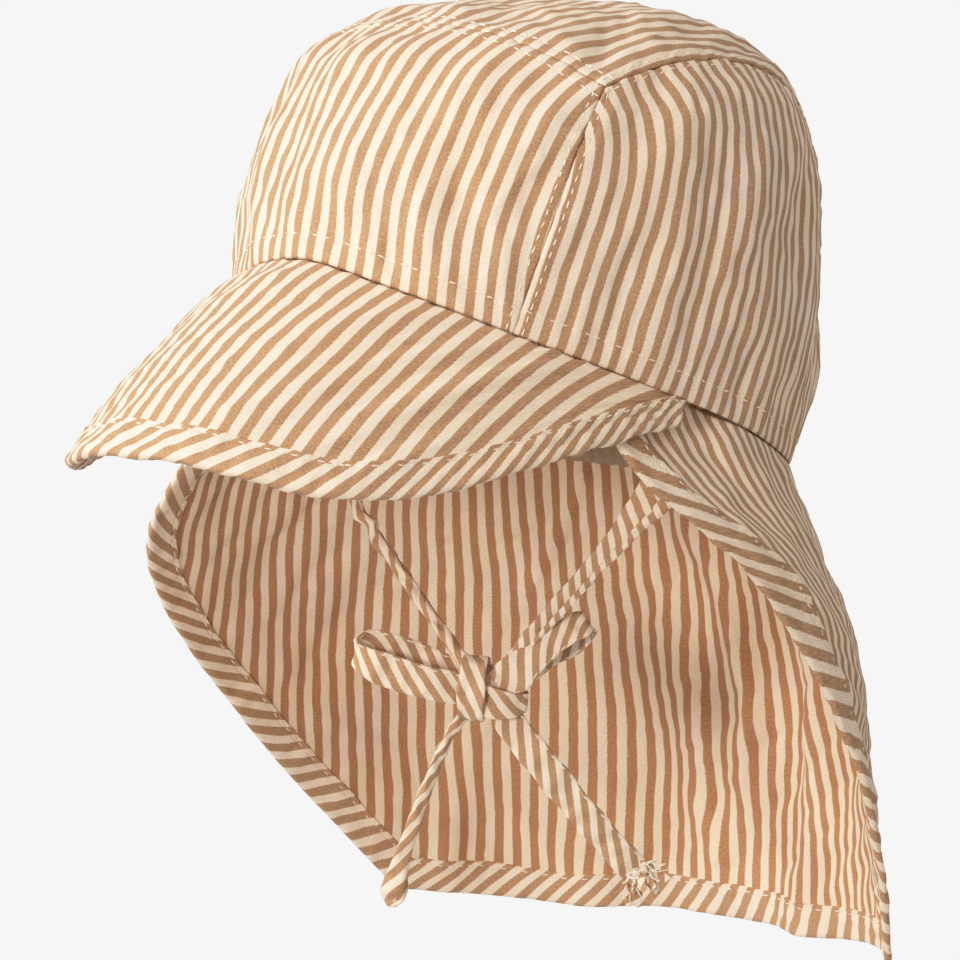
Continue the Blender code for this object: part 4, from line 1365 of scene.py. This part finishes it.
def ribbon(name, spine, across, widths, thickness, nodes, seed, bias, cup=0.0, stitched=()):
    """A flat tube along a spine; across says which way its width lies at each station.

    Cup bends the strap into a shallow trough. Stitched holds, for each row of stitches, its place as
    a share of the half width and the face that it lies on.
    """
    along = tangents(spine)
    across = unit(across - along * np.sum(across * along, axis=-1, keepdims=True))
    front = np.cross(along, across)
    run = arc(spine, 0)
    phi = np.linspace(0, 2 * np.pi, STRAP_SIDES, endpoint=False)
    x = np.sign(np.cos(phi)) * np.abs(np.cos(phi)) ** STRAP_ROUNDNESS
    z = np.sign(np.sin(phi)) * np.abs(np.sin(phi)) ** STRAP_ROUNDNESS
    a, xs = np.meshgrid(run, x, indexing="ij")
    zs = np.broadcast_to(z, a.shape)
    w = np.broadcast_to(widths, run.shape)[:, None]
    thick = np.broadcast_to(thickness, run.shape)[:, None]
    wobble = 0.00026 * ripples(a, xs * w / 2, 0.011, seed)
    wobble = wobble + 0.00011 * ripples(a, xs * w / 2, 0.0045, seed + 1)
    swell = 1 + 0.22 * ripples(a, xs * 0.003, 0.007, seed + 2)
    bowl = np.broadcast_to(cup, run.shape)[:, None] * w * (xs**2 - 0.4)
    wide = w / 2 * (1 + 0.04 * ripples(run, 0 * run, 0.012, seed + 3))[:, None]
    lift = zs * thick / 2 * swell + wobble + bowl
    points = spine[:, None] + across[:, None] * (xs * wide)[..., None] + front[:, None] * lift[..., None]
    flat = np.hypot(np.diff(x, append=x[0]) * np.mean(w) / 2, np.diff(z, append=z[0]) * np.mean(thick) / 2)
    around = np.concatenate([[0], np.cumsum(flat)])
    cloth_map = bias_map(run, around[None, :], bias, STRAP_PINCH)
    mesh = grid_mesh(name, points, cloth_map, closed_round=True, caps=True)
    add_piece(name, mesh, BIAS_CLOTH, nodes)
    for share, side in stitched:
        k = int(np.argmin(np.abs(x - share) + 10 * (z * side <= 0)))
        keep = slice(6, -6)
        stitch_line(points[keep, k], front[keep] * side, 0.00006)


def turned_face(along, face, degrees):
    """The way across a strap whose face looks along face, then turned about its length."""
    flat = unit(np.cross(along, face))
    front = np.cross(flat, along)
    angle = np.radians(degrees)[:, None]
    return np.cos(angle) * flat + np.sin(angle) * front


def from_knot(places):
    """World places from places in mm sideways, outwards and up from the knot."""
    return KNOT_AT + np.asarray(places) * MM @ BOW_AXES


def bow_spine(rows, stations):
    """Shares of a strap's length, with its places and its width there."""
    u = np.linspace(0, 1, stations)
    places = np.stack([through(u, rows, k) for k in (1, 2, 3)], axis=-1)
    return u, from_knot(places), MM * through(u, rows, 4)


# share of the length, then mm from the knot: sideways, outwards, up; width in mm
LOOP_LEFT = (
    (0.00, -4.0, -3.5, 2.0, 6.0),
    (0.13, -11.0, -4.4, 3.4, 8.6),
    (0.30, -26.0, -4.4, 9.4, 8.8),
    (0.44, -35.3, -2.6, 11.3, 8.2),
    (0.50, -38.2, 0.0, 9.9, 8.0),
    (0.56, -36.4, 2.4, 8.4, 8.4),
    (0.70, -26.5, 4.6, 4.6, 9.4),
    (0.87, -12.0, 4.8, 0.8, 9.8),
    (1.00, -3.0, 3.0, -0.6, 7.0),
)
LOOP_RIGHT = (
    (0.00, 3.0, -4.0, 0.5, 6.0),
    (0.14, 8.5, -4.8, 3.4, 8.6),
    (0.31, 17.2, -4.8, 9.2, 8.8),
    (0.44, 25.4, -2.6, 14.8, 8.0),
    (0.50, 27.4, 0.0, 17.8, 7.2),
    (0.56, 25.6, 2.5, 18.6, 7.4),
    (0.70, 15.6, 4.8, 12.8, 8.8),
    (0.86, 6.6, 5.0, 4.6, 10.6),
    (1.00, 0.5, 3.0, 0.5, 8.0),
)
# the same columns, and the turn of the strap's face in degrees
TAIL_RIGHT = (
    (0.00, 2.2, 1.5, -5.0, 7.0, 0),
    (0.16, 6.4, 2.6, -11.4, 8.6, 4),
    (0.40, 18.0, 4.2, -25.8, 8.8, 8),
    (0.70, 31.2, 3.6, -42.0, 8.6, -6),
    (1.00, 43.6, 1.2, -56.0, 9.2, 4),
)
TAIL_LEFT = (
    (0.00, -4.6, -1.0, -5.0, 4.4, 20),
    (0.18, -11.2, -1.6, -13.5, 3.6, 35),
    (0.40, -17.8, -1.0, -28.5, 3.9, 30),
    (0.70, -24.0, 0.0, -46.0, 4.6, 10),
    (0.84, -26.4, 0.0, -53.5, 5.4, -10),
    (0.92, -27.5, 0.0, -58.5, 7.4, -30),
    (0.975, -28.1, 0.0, -62.8, 6.4, -38),
    (1.00, -28.3, 0.0, -64.6, 2.6, -40),
)


def make_loop(name, rows, seed, bias):
    _, spine, widths = bow_spine(rows, 140)
    tip = rows[len(rows) // 2]
    across = unit(np.cross(SIDEWAYS * tip[1] + UP * tip[3], OUTWARDS))
    facing = np.tile(across, (len(spine), 1))
    ribbon(name, spine, facing, widths, 0.0015, [name], seed, bias, 0.03, ((0.78, 1), (0.78, -1)))


def outward_face(spine, degrees):
    """The way across a strap that faces outwards from the bow, turned by some degrees."""
    return turned_face(tangents(spine), np.broadcast_to(OUTWARDS, spine.shape), degrees)


def make_tail(name, rows, seed, bias, stitched=(), thickness=0.0016):
    u, spine, widths = bow_spine(rows, TAIL_STATIONS)
    across = outward_face(spine, through(u, rows, 5))
    ribbon(name, spine, across, widths, thickness, [name], seed, bias, stitched=stitched)
    return spine, across


make_loop("bow_loop_left", LOOP_LEFT, 91, 48.0)
make_loop("bow_loop_right", LOOP_RIGHT, 95, -48.0)
right_tail, right_across = make_tail("tail_right", TAIL_RIGHT, 101, 58.0, ((-0.78, 1), (-0.78, -1)))
along_tail = np.linspace(0, 1, TAIL_STATIONS)
end_bulge = 0.0022 + 0.0022 * smooth(along_tail, 0.78, 0.92) - 0.0024 * smooth(along_tail, 0.95, 1.0)
left_tail, left_across = make_tail("tail_left", TAIL_LEFT, 105, 66.0, thickness=end_bulge)


def make_tie(name, share, t, end, sag, widths, turn, seed, thickness, bias):
    """A strap from the inside of the flap's binding to an end in mm from the knot."""
    anchor, normal = flap_grid.at(share, 1 - t)
    u = np.linspace(0, 1, 160)
    u1 = u[:, None]
    start = anchor - normal * 0.0029
    spine = start + (from_knot(end) - start) * u1 - UP * sag * 4 * u1 * (1 - u1)
    across = outward_face(spine, turn(u))
    ribbon(name, spine, across, widths(u), thickness, [name], seed, bias)
    return spine, across, widths(u)


def right_width(u):
    return 0.0040 - 0.0004 * smooth(u, 0.1, 0.9)


def left_width(u):
    return MM * between(u, (0, 0.12, 0.28, 0.45, 0.7, 0.9, 1), (14.5, 10, 6.8, 5.4, 5.2, 3.9, 3.6))


def right_turn(u):
    return 60 + 150 * u


def left_turn(u):
    return 30 * smooth(u, 0.5, 0.9)


make_tie("tie_right", 0.985, 0.055, (-6.0, -1.5, 5.0), 0.003, right_width, right_turn, 111, 0.0030, 62.0)
strand, strand_across, strand_widths = make_tie(
    "tie_left", 0.045, 0.130, (-0.8, 0.5, 1.5), 0.001, left_width, left_turn, 115, 0.0020, -40.0
)
# the left strand is folded lengthwise, which shows as a narrow strip on its upper side
fold_spine = strand - strand_across * (strand_widths * 0.34)[:, None] + OUTWARDS * 0.0012
ribbon("tie_left_fold", fold_spine, strand_across, strand_widths * 0.36, 0.0016, [], 117, -30.0)

# %% [markdown]
# The knot is strap wound round strap: a band that comes up over the left side, and a second turn
# that crosses in front to the right and folds back there, with a dark crease between the two.

# %% Knot
KNOT_CORE = (13.0, 9.0, 12.5)
# the same columns as the loops
KNOT_BAND = (
    (0.00, -2.8, -3.5, 4.0, 6.0),
    (0.14, -3.8, -1.0, 7.6, 7.4),
    (0.28, -4.6, 3.4, 7.4, 7.6),
    (0.45, -5.4, 6.4, 2.6, 7.8),
    (0.62, -5.8, 6.8, -3.2, 7.8),
    (0.80, -5.6, 3.6, -7.8, 7.2),
    (0.92, -4.8, -1.0, -8.0, 6.6),
    (1.00, -4.0, -3.5, -5.0, 6.0),
)
KNOT_TURN = (
    (0.00, -4.0, 2.6, -2.8, 8.4),
    (0.20, -0.6, 5.4, -3.2, 9.6),
    (0.42, 4.0, 6.2, -4.0, 8.8),
    (0.60, 7.6, 4.6, -4.3, 7.0),
    (0.72, 9.2, 1.8, -4.0, 5.6),
    (0.84, 8.2, -1.2, -3.6, 6.0),
    (1.00, 3.5, -3.0, -3.0, 6.5),
)


def knot_piece(name, rows, thickness, nodes, seed, cup, bias, stitches_at):
    _, spine, widths = bow_spine(rows, 110)
    out = unit(spine - from_knot(np.mean(np.array(rows)[:, 1:4], axis=0)))
    across = turned_face(tangents(spine), out, np.zeros(len(spine)))
    ribbon(name, spine, across, widths, thickness, nodes, seed, bias, cup, ((stitches_at, 1),))


knot_piece("knot", KNOT_BAND, 0.0019, ["knot"], 121, -0.10, -62.0, -0.7)
knot_piece("knot_turn", KNOT_TURN, 0.0022, [], 125, -0.14, 46.0, 0.7)
core = bmesh.new()
bmesh.ops.create_uvsphere(core, u_segments=24, v_segments=16, radius=0.5)
for vertex in core.verts:
    vertex.co = from_knot(np.array(vertex.co) * np.array(KNOT_CORE))
bmesh.ops.recalc_face_normals(core, faces=core.faces)
core_mesh = filled(bpy.data.meshes.new("knot_core"), core)
core_mesh.uv_layers.new(name="cloth")
add_piece("knot_core", core_mesh, BIAS_CLOTH)

# %% [markdown]
# The strap's ends were cut and never hemmed, so the yarns have come loose there: short, curled
# threads in both of the cloth's colours, and a few that stick out of the long end's tip.

# %% Frayed ends
THREAD_SIDES = 5
THREAD_STATIONS = 9


def thread_faces(base):
    """The faces of one thin tube whose points start at base."""
    sides, last = THREAD_SIDES, base + (THREAD_STATIONS - 1) * THREAD_SIDES
    faces = []
    for a in range(base, last, sides):
        for j in range(sides):
            k = (j + 1) % sides
            faces.append((a + k, a + j, a + sides + j, a + sides + k))
    return faces + [list(range(base, base + sides)), list(range(last, last + sides))[::-1]]


def threads(name, spine, across, count, reach, thick, seed, material):
    """Loose yarns that leave the last stretch of a strap, as one mesh of thin tubes."""
    random = np.random.default_rng(seed)
    along = unit(spine[-1] - spine[-8])
    phi = np.linspace(0, 2 * np.pi, THREAD_SIDES, endpoint=False)
    t = np.linspace(0, 1, THREAD_STATIONS)[:, None]
    vertices, faces = [], []
    for number in range(count):
        back = random.uniform(0.0, 0.0045)
        start = spine[-1] - along * back + across[-1] * random.uniform(-0.0046, 0.0046) + OUTWARDS * 0.0006
        way = along * random.uniform(0.2, 1.0) + across[-1] * random.normal(0, 0.7)
        way = unit(way + OUTWARDS * random.uniform(0, 0.6))
        curl = unit(random.normal(size=3)) * random.uniform(0.3, 1.0)
        length = reach * random.uniform(0.45, 1.0)
        sway = np.cross(way, curl) * 0.14 * np.sin(6 * t)
        middle = start + length * (way * t + curl * 0.45 * t**2 + sway)
        side = unit(np.cross(way, UP + 0.3 * OUTWARDS))
        radius = random.uniform(*thick) * (1 - 0.5 * t)
        ring = np.cos(phi)[:, None] * side + np.sin(phi)[:, None] * np.cross(way, side)
        vertices.append((middle[:, None] + ring * radius[..., None]).reshape(-1, 3))
        faces += thread_faces(number * THREAD_STATIONS * THREAD_SIDES)
    mesh = bpy.data.meshes.new(name)
    mesh.from_pydata(np.concatenate(vertices).tolist(), [], faces)
    work = bmesh.new()
    work.from_mesh(mesh)
    bmesh.ops.recalc_face_normals(work, faces=work.faces)
    add_piece(name, filled(mesh, work), material)


BROWN_THREAD = plain_material("brown_thread", (0.50, 0.29, 0.15), 0.8)
TUFT = (0.00026, 0.00050)
WISP = (0.00012, 0.00020)
threads("frayed_end_right", right_tail, right_across, 26, 0.0055, TUFT, 131, THREAD)
threads("frayed_end_right_brown", right_tail, right_across, 10, 0.0050, TUFT, 132, BROWN_THREAD)
threads("frayed_end_right_fine", right_tail, right_across, 12, 0.0085, WISP, 134, THREAD)
threads("frayed_end_left", left_tail, left_across * 0.4, 4, 0.0032, WISP, 133, THREAD)

# mm across the strap, mm long, mm wide, then how far it leans sideways and curls outwards
SHREDS = (
    (-3.6, 6.6, 3.0, -0.15, 0.5),
    (-1.6, 8.0, 2.6, 0.25, -0.3),
    (0.6, 5.6, 3.2, -0.30, 0.8),
    (2.4, 7.6, 2.8, 0.45, 0.2),
    (4.0, 5.8, 2.6, 0.80, 0.6),
    (-0.6, 4.4, 3.4, 0.60, 1.1),
)
end, end_across = right_tail[-1], right_across[-1]
end_along = unit(end - right_tail[-8])
t = np.linspace(0, 1, 24)[:, None]
for k, (shift, length, width, lean, curl) in enumerate(SHREDS):
    start = end - end_along * 0.0016 + end_across * shift * MM + OUTWARDS * 0.0004 * (k % 3)
    way = unit(end_along + end_across * lean + OUTWARDS * 0.15)
    sway = end_across * 0.10 * np.sin(5 * t + k)
    spine = start + length * MM * (way * t + OUTWARDS * curl * 0.5 * t**2 + sway)
    facing = np.tile(unit(end_across + 0.5 * OUTWARDS * np.sin(2.0 * k)), (len(t), 1))
    tapered = width * MM * (1 - 0.3 * t[:, 0])
    ribbon(f"frayed_shred_{k + 1}", spine, facing, tapered, 0.0006, [], 140 + 3 * k, 30.0)
print("frayed ends done")

# %% [markdown]
# All the sewing was gathered while the pieces were made, as lines of places on the cloth. One
# Geometry Nodes tree now lays a short thread every few millimetres along each of them.

# %% Stitches
sew("stitches", stitch_lines)

# %% [markdown]
# The size of the dressed hat is printed.

# %% Size and finish
low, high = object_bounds()
print("visual", [round(v, 4) for v in (*low, *high)])
